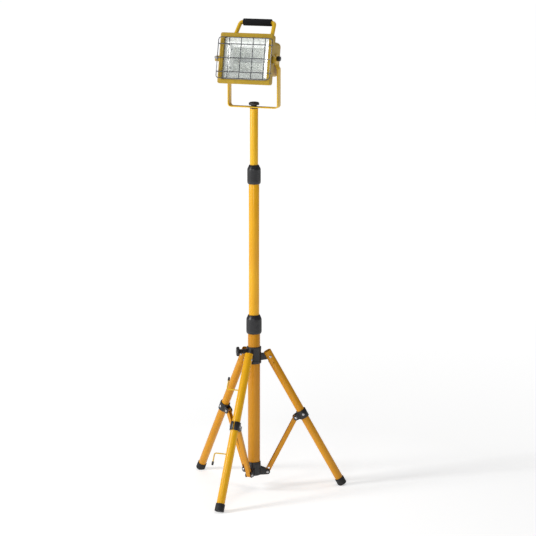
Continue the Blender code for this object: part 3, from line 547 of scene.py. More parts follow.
def cross_screw(radius, height):
    """Pan-head screw on z = 0, with a cross recess."""
    arc = [radians(angle) for angle in (0, 25, 50, 75)]
    outline = [(0, -0.0004), (radius, -0.0004), (radius, height * 0.3)]
    outline += [(radius * cos(a * 0.9), height * (0.3 + 0.7 * sin(a))) for a in arc[1:]]
    outline.append((0, height))
    head = turned(outline, SMALL)
    long, short = radius * 1.2, radius * 0.32
    bars = [prism(rounded_box(size, 0), height * 0.45, height * 1.5)
            for size in ((long, short), (short, long))]
    return cut(head, *bars)


# ---------------------------------------------------------------- mast

def lock_nut(tube_radius, inner_radius, outer, bottom, seam):
    """Ribbed twist collar with a conical top."""
    top = bottom + NUT_HEIGHT
    rib_low, rib_high = bottom + 0.0100, top - 0.0185
    outline = [
        (tube_radius + 0.0005, bottom), (outer - 0.0025, bottom), (outer - 0.0006, bottom + 0.003),
        (outer, bottom + 0.006), (outer, rib_low), (outer, rib_low + 0.0004),
        (outer, (rib_low + rib_high) / 2), (outer, rib_high - 0.0004), (outer, rib_high),
        (outer, top - 0.016), (outer - 0.0004, top - 0.0135), (outer - 0.0012, top - 0.0115),
        (inner_radius + 0.0026, top - 0.0006), (inner_radius + 0.0020, top),
        (inner_radius + 0.0004, top), (inner_radius + 0.0004, top - 0.0075),
        (tube_radius + 0.0020, top - 0.0075), (tube_radius + 0.0020, seam),
        (tube_radius + 0.0005, seam)]
    ribs = 36
    nut = turned(outline, ribs * 6)
    return ribbed(nut, ribs, 0.0007, rib_low + 0.0002, rib_high - 0.0002, outer - 0.0002, 0.9)


def build_mast():
    # The lower tube takes a darker copy of the mast paint (painted shade), the upper tube a paler one (painted
    # light).
    tubes = {"lower": (LOWER_RADIUS, LOWER_WALL, LOWER_BOTTOM, LOWER_TOP, "shaded_yellow"),
             "middle": (MIDDLE_RADIUS, MIDDLE_WALL, MIDDLE_BOTTOM, MIDDLE_TOP, "mast_yellow"),
             "upper": (UPPER_RADIUS, UPPER_WALL, UPPER_BOTTOM, UPPER_TOP, "upper_painted_light_yellow")}
    for name, (radius, wall, low, high, look) in tubes.items():
        piece(f"mast_tube_{name}", tube(radius, wall, low, high, FINE), MAST, look,
              f"{name}_tube")
    nuts = {"lower": (LOWER_RADIUS, MIDDLE_RADIUS, LOWER_NUT_RADIUS, LOWER_NUT_BOTTOM, LOWER_TOP),
            "upper": (MIDDLE_RADIUS, UPPER_RADIUS, UPPER_NUT_RADIUS, UPPER_NUT_BOTTOM, MIDDLE_TOP)}
    for name, sizes in nuts.items():
        piece(f"lock_collar_{name}", lock_nut(*sizes), MAST, "black_plastic", f"{name}_lock_nut")
    spigot = UPPER_RADIUS - UPPER_WALL - GAP
    rim = UPPER_RADIUS + 0.0005
    plug = [(0, UPPER_TOP - 0.022), (spigot, UPPER_TOP - 0.022), (spigot, UPPER_TOP + GAP),
            (rim, UPPER_TOP + GAP), (rim, YOKE_BOTTOM - GAP),
            (STUD_HOLE, YOKE_BOTTOM - GAP), (STUD_HOLE, UPPER_TOP - 0.016), (0, UPPER_TOP - 0.016)]
    piece("mast_plug", turned(eased(plug, 0.0006), FINE), MAST, "black_plastic", "mast_top_plug")
    keep("black_plastic", "lower_collet", "upper_collet", "middle_guide_bush", "upper_guide_bush")


# ---------------------------------------------------------------- tripod

def ear_outline(root, low, high, pivot, radius):
    """(radius, height) outline of an ear from a hub's wall to a round end at its pivot."""
    arc = [(pivot[0] + radius * sin(a), pivot[1] - radius * cos(a))
           for a in [pi * k / 18 for k in range(19)]]
    return [(root, low)] + arc + [(root, high)]


def about_z(degrees):
    return Matrix.Rotation(radians(degrees), 4, "Z")


def about_mast(mesh, azimuth):
    return moved(mesh, about_z(azimuth))


def tripod_head():
    low, high = LEG_PIVOT_HEIGHT - 0.023, LEG_PIVOT_HEIGHT + 0.036
    bore, body, band = LOWER_RADIUS + GAP, 0.0245, 0.0252
    outline = [(bore, low), (body - 0.0008, low), (band, low + 0.0018), (band, low + 0.0095),
               (body, low + 0.0103), (body, high - 0.0093), (band, high - 0.0085),
               (band, high - 0.0018), (body - 0.0008, high), (bore, high)]
    sleeve = turned(eased(outline, 0.0008), FINE)
    tongue = ear_outline(0.0230, LEG_PIVOT_HEIGHT - 0.013, LEG_PIVOT_HEIGHT + 0.012,
                         (LEG_PIVOT_RADIUS, LEG_PIVOT_HEIGHT), 0.0095)
    parts = [about_mast(panel(tongue, -0.006, 0.006, 0.0008), azimuth)
             for azimuth in LEG_AZIMUTHS.values()]
    clamp_turn = about_z(CLAMP_AZIMUTH) @ ALONG_X
    clamp_place = (0, 0, LEG_PIVOT_HEIGHT + 0.019)
    boss = rectangle(0, 0.0085, 0.0226, 0.0400)
    parts.append(moved(turned(eased(boss, 0.0010), MEDIUM), clamp_turn, clamp_place))
    holes = [moved(rod(0.0034, 0.0150, 0.0500), clamp_turn, clamp_place)]
    for azimuth in LEG_AZIMUTHS.values():
        holes.append(about_mast(rivet_hole(LEG_PIVOT_RADIUS, LEG_PIVOT_HEIGHT), azimuth))
    return cut(join(sleeve, *parts), *holes)


def clamp_knob():
    outline = [(0, 0.0214), (0.0030, 0.0214), (0.0030, 0.0403), (0.0080, 0.0403),
               (0.0080, 0.0490), (0.0105, 0.0505), (0.0150, 0.0510), (0.0165, 0.0526),
               (0.0165, 0.0560), (0.0165, 0.0592), (0.0148, 0.0612), (0.0075, 0.0612),
               (0.0065, 0.0604), (0, 0.0604)]
    knob = turned(eased(outline, 0.0012), 112)
    return ribbed(knob, 7, 0.0022, 0.0500, 0.0625, 0.0112, 0.7)


def base_hub():
    floor, rim = LOWER_BOTTOM - 0.0045, LOWER_BOTTOM + 0.0435
    bore = LOWER_RADIUS + GAP
    outline = [(0, floor), (0.0212, floor), (0.0237, floor + 0.0022), (0.0237, rim - 0.0070),
               (0.0232, rim - 0.0064), (0.0232, rim), (bore, rim), (bore, LOWER_BOTTOM - GAP),
               (0, LOWER_BOTTOM - GAP)]
    cup = turned(eased(outline, 0.0007), FINE)
    ear = ear_outline(0.0202, floor + 0.0005, BASE_PIVOT_HEIGHT + 0.020,
                      (BASE_PIVOT_RADIUS, BASE_PIVOT_HEIGHT), 0.0090)
    cheeks, holes = [], []
    for azimuth in LEG_AZIMUTHS.values():
        cheeks += [about_mast(cheek, azimuth) for cheek in pair_of_cheeks(ear)]
        holes.append(about_mast(rivet_hole(BASE_PIVOT_RADIUS, BASE_PIVOT_HEIGHT), azimuth))
    return cut(join(cup, *cheeks), *holes)


def rivet(half_width):
    """Rivet along Y with a domed head and a rolled rim on each side."""
    end, head, dome = half_width + GAP, 0.0046, 0.0020
    arc = [radians(angle) for angle in (0, 12, 28, 46, 66)]
    upper = [(head * cos(a), end + dome * sin(a)) for a in arc] + [(0, end + dome)]
    lower = [(r, -z) for r, z in reversed(upper)]
    shaft = [(RIVET_RADIUS, -end), (RIVET_RADIUS, end)]
    return moved(turned(lower + shaft + upper, SMALL), FACING_Y)


def leg_length():
    """From the leg's pivot to the middle of its foot's end."""
    return (LEG_PIVOT_HEIGHT - SOLE_LIFT) / cos(LEG_LEAN)


def leg_tube(with_hooks):
    """Leg along -Z from its pivot; +X is outward, and its slot faces in."""
    body = tube(LEG_RADIUS, LEG_WALL, FOOT_LENGTH * 0.3 - leg_length(), LEG_TOP, MEDIUM, 0.0003)
    slot = prism(rounded_box((0.030, 0.0129), 0), -0.0145, LEG_TOP + 0.01)
    cutters = [moved(slot, to=(-0.0150, 0, 0)), rivet_hole(), rivet_hole(z=-BRACKET_DROP),
               moved(rod(0.0021, -THROUGH, THROUGH), FACING_Y, (0, 0, -0.0245))]
    if with_hooks:
        for drop in HOOK_DROPS.values():
            cutters.append(moved(rod(HOOK_RADIUS + 0.0004, 0, THROUGH), FACING_Y, (0, 0, -drop)))
    return cut(body, *cutters)


def foot():
    """Rubber cap with two grip grooves; the corner that meets the floor is cut level with it."""
    end = -leg_length()
    seat, top = end + FOOT_LENGTH * 0.3 - GAP, end + FOOT_LENGTH
    bore, radius = LEG_RADIUS + GAP, FOOT_RADIUS - 0.0002     # inside the CAD cap's flats
    groove = radius - 0.0005
    outline = [(0, end), (radius - 0.0012, end), (radius, end + 0.0015)]
    for middle in (top - 0.0085, top - 0.0050):
        outline += [(radius, middle - 0.0009), (groove, middle - 0.0004),
                    (groove, middle + 0.0004), (radius, middle + 0.0009)]
    outline += [(radius, top - 0.0012), (radius - 0.0008, top), (bore, top),
                (bore, seat), (0, seat)]
    below_floor = prism(rounded_box((0.2, 0.2), 0), -0.1, 0)
    pivot_to_floor = (0, 0, -LEG_PIVOT_HEIGHT / cos(LEG_LEAN))
    return cut(turned(outline, MEDIUM),
               moved(below_floor, Matrix.Rotation(LEG_LEAN, 4, "Y"), pivot_to_floor))


def leg_bracket():
    """Split collar round the leg, with two cheeks for the brace on its inner side."""
    drop = -BRACKET_DROP
    ring = tube(BRACKET_RADIUS, 0.0033, drop - 0.015, drop + 0.015, MEDIUM, 0.0008)
    outline = rounded([(-0.0132, drop - 0.0115), (-0.0132, drop + 0.0115),
                       (-BRACE_OFFSET - 0.0085, drop + 0.0085),
                       (-BRACE_OFFSET - 0.0085, drop - 0.0085)], (0, 0, 0.0083, 0.0083))
    split = moved(prism(rounded_box((0.012, 0.005), 0), drop - 0.02, drop + 0.02),
                  to=(LEG_RADIUS + 0.002, 0, 0))
    return cut(join(ring, *pair_of_cheeks(outline)), split, rivet_hole(0, drop),
               rivet_hole(-BRACE_OFFSET, drop))


def brace_length_and_lean():
    """Distance between the two brace pivots, and the brace's lean, in a leg's radial plane."""
    top_radius = LEG_PIVOT_RADIUS + BRACKET_DROP * sin(LEG_LEAN) - BRACE_OFFSET * cos(LEG_LEAN)
    top_height = LEG_PIVOT_HEIGHT - BRACKET_DROP * cos(LEG_LEAN) - BRACE_OFFSET * sin(LEG_LEAN)
    run, rise = top_radius - BASE_PIVOT_RADIUS, top_height - BASE_PIVOT_HEIGHT
    return hypot(run, rise), atan2(run, rise)


def brace():
    """Pressed channel from its top pivot down -Z, with a slot for the base rivet."""
    length, _lean = brace_length_and_lean()
    half = BRACE_DEPTH / 2
    outline = rounded(rectangle(-half, half, -length - half, half), [half * 0.98] * 4, 8)
    body = panel(outline, -BRACE_WIDTH / 2, BRACE_WIDTH / 2, 0.0012)
    inside = BRACE_WIDTH / 2 - BRACE_WALL
    hollow = panel(rectangle(-half - 0.01, half - BRACE_WALL, -length - THROUGH, THROUGH),
                   -inside, inside)
    slot_half = RIVET_RADIUS + 0.0024
    slot = rounded(rectangle(-slot_half, slot_half, -length - slot_half,
                             -length + BRACE_SLOT + slot_half), [slot_half * 0.98] * 4)
    return cut(body, hollow, panel(slot, -THROUGH, THROUGH), rivet_hole())


def hook(direction):
    """Bent wire hook for wrapping a cord: out of the leg, then along it."""
    path = rounded([(0, -0.0060, 0), (0, -HOOK_REACH, 0), (0, -HOOK_REACH, direction * HOOK_RISE)],
                   (0, 0.006, 0), 10)
    return wire(path, HOOK_RADIUS)


def hook_tip(direction):
    inner, outer = HOOK_RADIUS + GAP, HOOK_RADIUS + 0.0014
    outline = [(inner, HOOK_RISE - 0.010), (outer, HOOK_RISE - 0.010), (outer, HOOK_RISE + 0.001),
               (outer - 0.0006, HOOK_RISE + 0.0024), (outer - 0.0020, HOOK_RISE + 0.003),
               (0, HOOK_RISE + 0.003), (0, HOOK_RISE + GAP), (inner, HOOK_RISE + GAP)]
    turn = Matrix.Identity(4) if direction > 0 else Matrix.Rotation(pi, 4, "X")
    return moved(turned(eased(outline, 0.0005), SMALL), turn, (0, -HOOK_REACH, 0))


def build_tripod():
    piece("hub_head", tripod_head(), MAST, "black_plastic", "tripod_head")
    clamp_place = joint_point("clamp_knob_turn")
    clamp = (Matrix.Translation((0, MAST.translation.y, clamp_place.z))
             @ about_z(CLAMP_AZIMUTH) @ ALONG_X)
    piece("clamp_handwheel", clamp_knob(), clamp, "black_plastic", "clamp_knob")
    piece("hub_base", base_hub(), MAST, "black_plastic", "base_hub")
    _length, lean = brace_length_and_lean()
    stack = CHEEK_INSIDE + CHEEK
    for side, azimuth in LEG_AZIMUTHS.items():
        turn = about_z(azimuth)
        leg = (Matrix.Translation(joint_point(f"leg_{side}_fold")) @ turn
               @ Matrix.Rotation(-LEG_LEAN, 4, "Y"))
        bracket = leg @ Matrix.Translation((0, 0, -BRACKET_DROP))
        brace_top = bracket @ Matrix.Translation((-BRACE_OFFSET, 0, 0))
        # The front leg takes a brighter copy of the leg paint: painted light.
        paint = "front_painted_light_yellow" if side == "front" else "leg_yellow"
        piece(f"leg_tube_{side}", leg_tube(side == "front"), leg, paint, f"leg_{side}")
        piece(f"foot_cap_{side}", foot(), leg, "black_rubber", f"foot_{side}")
        piece(f"bracket_{side}", leg_bracket(), leg, "black_plastic", f"leg_bracket_{side}")
        piece(f"rivet_leg_{side}", rivet(LEG_RADIUS), leg, "steel", f"leg_rivet_{side}")
        piece(f"rivet_bracket_{side}", rivet(BRACKET_RADIUS), bracket, "steel",
              f"bracket_rivet_{side}")
        piece(f"rivet_brace_{side}", rivet(stack), brace_top, "steel", f"brace_rivet_{side}")
        strut = (Matrix.Translation(joint_point(f"brace_{side}_fold")) @ turn
                 @ Matrix.Rotation(lean, 4, "Y"))
        piece(f"strut_{side}", brace(), strut, "leg_yellow", f"brace_{side}")
        base_pivot = MAST @ turn @ Matrix.Translation((BASE_PIVOT_RADIUS, 0, BASE_PIVOT_HEIGHT))
        piece(f"rivet_base_{side}", rivet(stack), base_pivot, "steel", f"base_rivet_{side}")
        if side == "front":
            for name, direction in (("upper", 1), ("lower", -1)):
                place = leg @ Matrix.Translation((0, 0, -HOOK_DROPS[name]))
                piece(f"hook_{name}", hook(direction), place, "yoke_yellow", f"cord_hook_{name}")
                piece(f"hook_cap_{name}", hook_tip(direction), place, "black_rubber",
                      f"hook_tip_{name}")


# ---------------------------------------------------------------- yoke

def yoke_mesh():
    """Flat strip bent to a U, with its ears set inward at the tilt axis."""
    tilt_height = HEAD.translation.z
    top = tilt_height + YOKE_WIDTH / 2
    half, ear = YOKE_HALF_SPAN, YOKE_EAR_SPAN
    thick, width = YOKE_THICKNESS / 2, YOKE_WIDTH / 2
    joggle_low, joggle_high = tilt_height - 0.034, tilt_height - 0.020

    def side_line(offset, bottom):
        return [(ear + offset, top), (ear + offset, joggle_high), (half + offset, joggle_low),
                (half + offset, bottom)]

    outer = side_line(thick, YOKE_BOTTOM)
    inner = side_line(-thick, YOKE_BOTTOM + YOKE_THICKNESS)
    corners = outer + [(-x, z) for x, z in reversed(outer)]
    corners += [(-x, z) for x, z in inner] + list(reversed(inner))
    radii = ([0, 0.006, 0.006, 0.012, 0.012, 0.006, 0.006, 0] +
             [0, 0.006, 0.006, 0.0085, 0.0085, 0.006, 0.006, 0])
    strip = panel(rounded(corners, radii, 10), -width, width, 0.0005)
    clear = width + 0.0002
    face = [(-clear, YOKE_BOTTOM - 0.01), (clear, YOKE_BOTTOM - 0.01)]
    face += [(clear * cos(a), tilt_height + width * sin(a))
             for a in [pi * k / 36 for k in range(37)]]
    strip = common(strip, side_plate(face, -0.12, 0.12))
    mast_hole = rod(STUD_HOLE, YOKE_BOTTOM - 0.01, YOKE_BOTTOM + 0.02)
    tilt_hole = moved(rod(STUD_HOLE, -0.12, 0.12), ALONG_X, (0, 0, tilt_height))
    return cut(strip, mast_hole, tilt_hole)


def build_yoke():
    piece("yoke_strap", yoke_mesh(), MAST, "yoke_yellow", "yoke")
    seat = YOKE_BOTTOM + YOKE_THICKNESS + GAP
    outline = [(0, UPPER_TOP - 0.014), (STUD, UPPER_TOP - 0.014), (STUD, seat), (0.0095, seat),
               (0.0100, seat + 0.0036), (0.0155, seat + 0.0044), (0.0176, seat + 0.0060),
               (0.0180, seat + 0.0078), (0.0180, seat + 0.0104), (0.0172, seat + 0.0124),
               (0.0140, seat + 0.0147), (0.0080, seat + 0.0157), (0, seat + 0.0160)]
    knob = ribbed(turned(eased(outline, 0.0008), 168), 28, 0.0006, seat + 0.0055, seat + 0.0110,
                  0.0160, 0.9)
    piece("yoke_handwheel", knob, MAST, "black_plastic", "yoke_knob")


# ---------------------------------------------------------------- head

def grown(size, amount):
    """A (width, height) that is larger by an amount, or smaller if it is negative."""
    return size[0] + amount, size[1] + amount


def front_frame():
    outer = panel(rounded_box(BEZEL_SIZE, 0.006), BEZEL_FRONT, BEZEL_BACK, 0.0014)
    window = panel(rounded_box(WINDOW_SIZE, 0.005), BEZEL_FRONT - 0.01, BEZEL_BACK + 0.01)
    rebate = panel(rounded_box(grown(WINDOW_SIZE, 0.012), 0.006), GLASS_SEAT, BEZEL_BACK + 0.01)
    chamfer = panel(rounded_box(grown(WINDOW_SIZE, 0.004), 0.007), BEZEL_FRONT - 0.0030,
                    BEZEL_FRONT + 0.0022, 0.0021)
    lug = panel(rounded(rectangle(LATCH_END, -0.090, -0.012, 0.007), (0.005, 0, 0, 0.005)),
                LATCH_Y, -0.0700, 0.0006)
    x, y = HINGE_AXIS
    knuckle = moved(rod(KNUCKLE_RADIUS, -0.0038, 0.0038), to=(x, y, 0))
    web = panel(rectangle(0.089, x, -0.0036, 0.0036), BEZEL_BACK - 0.0049, BEZEL_BACK - GAP)
    cutters = [window, chamfer, rebate, moved(rod(HINGE_BORE, -THROUGH, THROUGH), to=(x, y, 0)),
               moved(rod(0.0029, -0.02, 0.02), ALONG_Y, (LATCH_X, -0.073, 0))]
    for row in (GUARD_ROWS[0], GUARD_ROWS[-1]):
        for turn, side in ((ALONG_X, 1), (ALONG_MINUS_X, -1)):
            cutters.append(moved(rod(GUARD_WIRE + 0.0004, 0, 0.02), turn,
                                 (side * 0.0895, BEZEL_FRONT + 0.006, row)))
    return cut(join(outer, lug, knuckle, web), *cutters)


def wire_guard():
    """Welded wire grid in front of the glass; the outer rows' ends hook into the frame."""
    x, z = GUARD_HALF
    hook_y, end = BEZEL_FRONT + 0.006, 0.0905      # where the outer rows end in the frame
    loop = [(px, GUARD_FRONT, pz) for px, pz in rounded_box((2 * x, 2 * z), 0.010, 8)]
    bars = []
    for row in GUARD_ROWS:
        if row == 0:
            path = [(-x, GUARD_FRONT, row), (x, GUARD_FRONT, row)]
        else:
            path = rounded([(-end, hook_y, row), (-x, hook_y, row), (-x, GUARD_FRONT, row),
                            (x, GUARD_FRONT, row), (x, hook_y, row), (end, hook_y, row)],
                           (0, 0.003, 0.004, 0.004, 0.003, 0), 6)
        bars.append(wire(path, GUARD_WIRE, 2))
    for column in GUARD_COLUMNS:
        depth = GUARD_FRONT + 1.6 * GUARD_WIRE
        bars.append(wire([(column, depth, -z), (column, depth, z)], GUARD_WIRE, 2))
    return join(wire(loop, GUARD_WIRE, 2, loop=True), *bars)


def housing():
    """Cast body: a shoulder behind the front frame and a rounded box, hollow inside."""
    wall, side = 2 * SHELL_WALL, BODY_SIZE[0] / 2
    shoulder = block(SHOULDER_SIZE, 0.007, SHOULDER_FRONT, SHOULDER_BACK, FRONT_DROP, 0.0022)
    body = block(BODY_SIZE, 0.014, SHOULDER_BACK - 0.009, BODY_BACK, BODY_DROP, 0.0070)
    wide = block(grown(SHOULDER_SIZE, -wall), 0.005, SHOULDER_FRONT - 0.01,
                 SHOULDER_BACK - SHELL_WALL, FRONT_DROP)
    deep = block(grown(BODY_SIZE, -wall), 0.011, SHOULDER_BACK - 0.012, BODY_BACK - SHELL_WALL,
                 BODY_DROP, 0.005)
    shell = cut(join(shoulder, body), wide, deep)
    additions, cutters = [], [moved(rod(0.0060, 0, 0.03), ALONG_Y, (0, 0.030, BODY_DROP))]
    for turn in (ALONG_X, ALONG_MINUS_X):
        boss = rectangle(0, 0.0180, side - 0.0010, side + 0.0019)
        additions.append(moved(turned(eased(boss, 0.0008), MEDIUM), turn))
        additions.append(moved(rod(0.0090, side - 0.0120, side - 0.0020), turn))
        cutters.append(moved(rod(STUD_HOLE, side - 0.0100, side + 0.02), turn))
    fork = panel(rounded(rectangle(LATCH_END, -0.0905, -0.008, 0.008), (0.003, 0, 0, 0.003)),
                 SHOULDER_FRONT + GAP, SHOULDER_FRONT + 0.0050, 0.0005)
    throat = panel(rectangle(LATCH_X - 0.02, LATCH_X + 0.0045, -0.0032, 0.0032), -0.08, -0.05)
    cutters.append(moved(throat, to=(0, 0, FRONT_DROP)))
    additions.append(moved(fork, to=(0, 0, FRONT_DROP)))
    x, y = HINGE_AXIS
    for low in (FRONT_DROP - 0.0120, FRONT_DROP + 0.0042):
        high = low + 0.0078
        additions.append(moved(rod(KNUCKLE_RADIUS, low, high), to=(x, y, 0)))
        low, high = low + GAP, high - GAP
        additions.append(panel(rectangle(0.0900, x + 0.0030, low, high),
                               SHOULDER_FRONT + GAP, SHOULDER_FRONT + 0.006))
        low, high = low + GAP, high - GAP
        additions.append(panel(rectangle(x - 0.0010, x + 0.0028, low, high), y,
                               SHOULDER_FRONT + 0.002))
    cutters.append(moved(rod(HINGE_BORE, -0.04, 0.03), to=(x, y, 0)))
    return cut(join(shell, *additions), *cutters)


def reflector():
    """Flared trough with fine vertical flutes: a skin, thickened, with holes for the lamp."""
    rim_y, mouth_y, depth = SHOULDER_FRONT + 0.0005, -0.0510, 0.0700
    flange, rim, mouth = (0.0855, 0.0770), (0.0795, 0.0700), (0.0520, 0.0392)
    flutes, turns, ripple_depth = 11, 28, 0.0028
    columns_each = 8
    columns = flutes * columns_each
    bm = bmesh.new()

    def row(half, y, ripple=0.0):
        points = []
        for k in range(columns + 1):
            wave = ripple * (1 - abs(sin(pi * k / columns_each)))
            points.append(bm.verts.new((half[0] * (2 * k / columns - 1), y - wave, half[1])))
        return points

    def bridge(first, second):
        for k in range(len(first) - 1):
            bm.faces.new([first[k], first[k + 1], second[k + 1], second[k]])

    rows = [row(flange, rim_y), row(rim, rim_y), row(mouth, mouth_y)]
    for step in range(1, turns):
        angle = pi * step / turns
        rows.append(row((mouth[0], mouth[1] * cos(angle)), mouth_y + depth * sin(angle),
                        ripple_depth * sin(angle)))
    rows += [row((half[0], -half[1]), y)
             for half, y in ((mouth, mouth_y), (rim, rim_y), (flange, rim_y))]
    for first, second in zip(rows, rows[1:]):
        bridge(first, second)
    for end in (0, -1):
        edge = [line[end] for line in rows]
        for outer, inner in ((0, 1), (1, 2)):
            bm.faces.new([edge[outer], edge[inner], edge[-1 - inner], edge[-1 - outer]])
        bm.faces.new(edge[2:-2])
    shell = mesh_from(bm)
    middle = shell.polygons[len(shell.polygons) // 2]
    if middle.normal.y > 0:
        shell.flip_normals()
    thing = shown("shell", shell)
    step = thing.modifiers.new("skin", "SOLIDIFY")
    step.thickness = 0.0012
    step.offset = -1
    solid = evaluated(thing)
    bpy.data.objects.remove(thing)
    return cut(solid, moved(rod(0.0085, -0.10, 0.10), ALONG_X, (0, LAMP_Y, 0)))


def handle():
    """Bent round bar over the top, leaning back, on two round foot pads."""
    (x, foot_y), (top_x, top_y, top_z) = HANDLE_FOOT, HANDLE_TOP
    seat = BODY_DROP + BODY_SIZE[1] / 2 + GAP
    foot_z = seat + 0.0030
    path = rounded([(-x, foot_y, foot_z), (-top_x, top_y, top_z), (top_x, top_y, top_z),
                    (x, foot_y, foot_z)], (0, 0.010, 0.010, 0), 12)
    bar = wire(path, 0.0067, 8)
    pad = rectangle(0, 0.0095, seat, seat + 0.0070)
    pads = [moved(turned(eased(pad, 0.0016), MEDIUM), to=(side * x, foot_y, 0))
            for side in (-1, 1)]
    return join(bar, *pads)


def terminal_box():
    """Junction box with a lid seam."""
    size, back = TERMINAL_SIZE, TERMINAL_BACK
    shell = block(size, 0.008, BODY_BACK + GAP, back, BODY_DROP, 0.0020)
    hollow = block(grown(size, -0.005), 0.006, BODY_BACK - 0.01, back - 0.0025, BODY_DROP)
    seam = cut(block(grown(size, 0.01), 0.008, back - 0.0078, back - 0.0070, BODY_DROP),
               block(grown(size, -0.0014), 0.0073, back - 0.01, back, BODY_DROP))
    gland_hole = moved(rod(0.0063, -0.01, 0.01), to=GLAND_PLACE)
    return cut(shell, hollow, seam, gland_hole)


def cable_gland():
    """Dome nut with six flats below a round collar."""
    outline = [(0.0042, -0.024), (0.0058, -0.024), (0.0080, -0.0222), (0.0085, -0.0205),
               (0.0085, -0.0080), (0.0100, -0.0070), (0.0100, -GAP), (0.0060, -GAP),
               (0.0060, 0.006), (0.0042, 0.006)]
    gland = turned(eased(outline, 0.0006), MEDIUM)
    return ribbed(gland, 6, 0.0008, -0.0215, -0.0078, 0.0082, 0.6)


def tilt_knob():
    side = BODY_SIZE[0] / 2
    face = YOKE_EAR_SPAN + YOKE_THICKNESS / 2 + GAP
    outline = [(0, side - 0.008), (STUD, side - 0.008), (STUD, face), (0.0075, face),
               (0.0075, face + 0.0014), (0.0085, face + 0.0022), (0.0085, face + 0.0060),
               (0.0085, face + 0.0100), (0.0078, face + 0.0118), (0.0060, face + 0.0128),
               (0, face + 0.0130)]
    knob = turned(eased(outline, 0.0007), 108)
    return ribbed(knob, 12, 0.0009, face + 0.0018, face + 0.0112, 0.0079, 0.8)


def build_head():
    piece("head_casting", housing(), HEAD, "head_yellow", "rear_housing")
    piece("carry_handle", handle(), HEAD, "yoke_yellow", "handle")
    grip = moved(tube(0.0121, 0.0052, -0.0505, 0.0505, MEDIUM, 0.0014), ALONG_X,
                 (0, *HANDLE_TOP[1:]))
    sleeve = piece("grip_sleeve", grip, HEAD, "foam", "handle_grip")
    piece("junction_box", terminal_box(), HEAD, "black_plastic", "terminal_box")
    piece("gland", moved(cable_gland(), to=GLAND_PLACE), HEAD, "black_plastic", "cable_gland")
    lid = TERMINAL_BACK - 0.0002
    for k, (x, z) in enumerate(rectangle(-1, 1, -1, 1)):
        place = (HEAD @ Matrix.Translation((x * 0.035, lid, BODY_DROP + z * 0.021))
                 @ ALONG_Y @ about_z(20 + 31 * k))
        piece(f"lid_screw_{k + 1}", cross_screw(0.0028, 0.0012), place, "steel", body="lamp_head")
    for name, turn in (("right", ALONG_X), ("left", ALONG_MINUS_X)):
        piece(f"tilt_handwheel_{name}", tilt_knob(), HEAD @ turn, "black_plastic",
              f"tilt_knob_{name}")


def build_lamp():
    piece("reflector_trough", reflector(), FRONT, "reflector", "reflector")
    cheek = atan2(0.0155, 0.0275)      # slope of the side cheeks, from the lamp's plane
    for k, (x, z) in enumerate(rectangle(-1, 1, -1, 1)):
        place = (FRONT @ Matrix.Translation((x * 0.0600, -0.0556, z * 0.031))
                 @ Matrix.Rotation(-x * cheek, 4, "Z") @ FACING_Y @ about_z(15 + 40 * k))
        piece(f"reflector_screw_{k + 1}", cross_screw(0.0030, 0.0018), place, "screw_steel",
              body="lamp_head")
    lamp_line = FRONT @ Matrix.Translation((0, LAMP_Y, 0)) @ ALONG_X
    tube_half = 0.0440
    glass = [(0, -0.0470), (0.0038, -0.0470), (0.0055, -tube_half), (0.0055, tube_half),
             (0.0038, 0.0470), (0, 0.0470)]
    piece("lamp_tube", turned(eased(glass, 0.0012, 4), MEDIUM), lamp_line, "quartz", "lamp")
    ends = []
    for side in (-1, 1):
        near, far = sorted((side * 0.0472, side * 0.0565))
        ends.append(turned(eased(rectangle(0, 0.0038, near, far), 0.0006), SMALL))
    piece("lamp_ends", gathered(ends), lamp_line, "ceramic", body="lamp_head")
    for name, side in (("left", -1), ("right", 1)):
        near, far = sorted((side * 0.0568, side * 0.0646))
        outline = rounded(rectangle(LAMP_Y - 0.010, LAMP_Y + 0.012, -0.010, 0.010), [0.003] * 4)
        piece(f"holder_{name}", side_plate(outline, near, far, 0.0008), FRONT, "ceramic",
              f"lampholder_{name}")


def build_door():
    piece("front_casting", front_frame(), FRONT, "head_yellow", "front_frame", sharp=30)
    size, front = grown(WINDOW_SIZE, 0.0114), GLASS_SEAT + GAP
    back = front + GLASS_THICKNESS
    piece("lens_pane", block(size, 0.0055, front, back, 0.0, 0.0004), FRONT, "glass",
          "lens_glass")
    gasket = block(size, 0.0055, back + GAP, BEZEL_BACK + GAP)
    opening = block(WINDOW_SIZE, 0.0045, BEZEL_FRONT, SHOULDER_BACK)
    piece("lens_seal", cut(gasket, opening), FRONT, "black_rubber", "lens_gasket")
    piece("guard_grid", wire_guard(), FRONT, "chrome_wire", "wire_guard")
    pin = [(0, -0.0142), (0.0030, -0.0142), (0.0030, -0.0123), (0.0018, -0.0123),
           (0.0018, 0.0123), (0.0030, 0.0123), (0.0030, 0.0142), (0, 0.0142)]
    piece("hinge_rod", moved(turned(eased(pin, 0.0004), SMALL), to=(*HINGE_AXIS, 0)), FRONT,
          "steel", "hinge_pin")
    shank = [(0, -0.0030), (0.0045, -0.0030), (0.0045, -GAP), (0.0025, -GAP), (0.0025, 0.0220),
             (0, 0.0220)]
    wing = panel(rounded_box((0.0170, 0.0060), 0.0028), -0.0050, -0.0022, 0.0007)
    screw = join(moved(turned(eased(shank, 0.0004), SMALL), ALONG_Y), wing)
    piece("wing_screw", screw, FRONT @ Matrix.Translation((LATCH_X, LATCH_Y, 0)), "steel",
          "latch_screw")


# ---------------------------------------------------------------- stage, light and camera

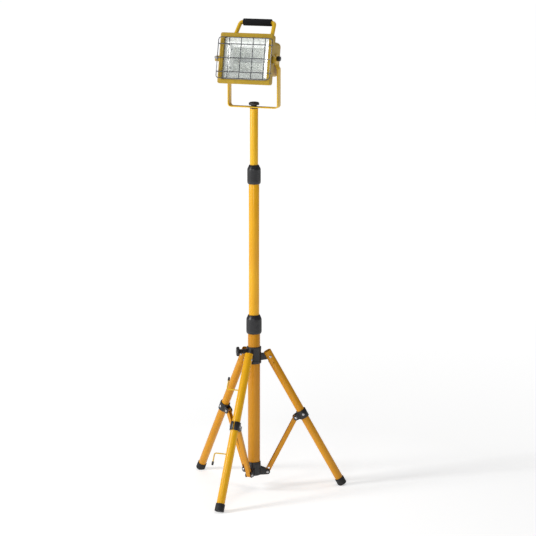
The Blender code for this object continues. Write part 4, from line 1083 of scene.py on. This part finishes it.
def floor_material():
    """Pale matt paint that glows a little more where the softboxes no longer reach."""
    look = Look("backdrop", (0.88, 0.88, 0.88), 0.9, Specular_IOR_Level=0.1,
                Emission_Color=(1, 1, 1, 1))
    length = look.node("VectorMath", operation="LENGTH")
    look.link(look.place, length.inputs[0])
    glow = look.spread(length.outputs["Value"], 1.0, 4.5, 0.45, 0.84)
    look.link(glow, look.shader.inputs["Emission Strength"])
    look.bump(look.noise(90.0, 2.0), 0.02, 0.001)
    return look.material


def build_stage():
    """A flat pale floor, wide enough to reach the horizon in every view."""
    bm = bmesh.new()
    bmesh.ops.create_circle(bm, cap_ends=True, segments=96, radius=FLOOR_RADIUS)
    mesh = mesh_from(bm)
    mesh.materials.append(floor_material())
    floor = shown("backdrop", mesh)


def softbox(name, place, aim, size, power):
    light = bpy.data.lights.new(name, "AREA")
    light.shape = "RECTANGLE"
    light.size, light.size_y = size
    light.energy = power
    lamp = shown(name, light)
    lamp.location = place
    lamp.rotation_euler = (Vector(aim) - Vector(place)).to_track_quat("-Z", "Y").to_euler()


def build_light():
    world = bpy.data.worlds.new("studio")
    world.use_nodes = True
    sky = world.node_tree.nodes["Background"]
    sky.inputs["Color"].default_value = (1.0, 1.0, 1.0, 1.0)
    sky.inputs["Strength"].default_value = 0.20
    bpy.context.scene.world = world
    bpy.context.scene.view_settings.view_transform = "Standard"
    middle = (0, 0, 0.9)
    softbox("key", (-3.6, -3.0, 2.7), middle, (0.9, 2.4), 165)
    softbox("front", (0.6, -4.8, 2.2), middle, (1.2, 1.4), 38)
    softbox("top", (0.4, 0.8, 4.2), middle, (1.8, 1.8), 30)


def build_camera():
    azimuth, distance, height, pitch = radians(22.0), 7.5, 2.21, radians(10.8)
    data = bpy.data.cameras.new("camera")
    data.sensor_width = 36.0
    data.lens = 150.3
    data.shift_x = 0.0261
    data.clip_end = 100
    camera = shown("camera", data)
    camera.location = (sin(azimuth) * distance, MAST.translation.y - cos(azimuth) * distance,
                       height)
    aim = Vector((-sin(azimuth) * cos(pitch), cos(azimuth) * cos(pitch), -sin(pitch)))
    camera.rotation_euler = aim.to_track_quat("-Z", "Y").to_euler()
    bpy.context.scene.camera = camera


build_mast()
build_tripod()
build_yoke()
build_head()
build_lamp()
build_door()
build_stage()
build_light()
build_camera()
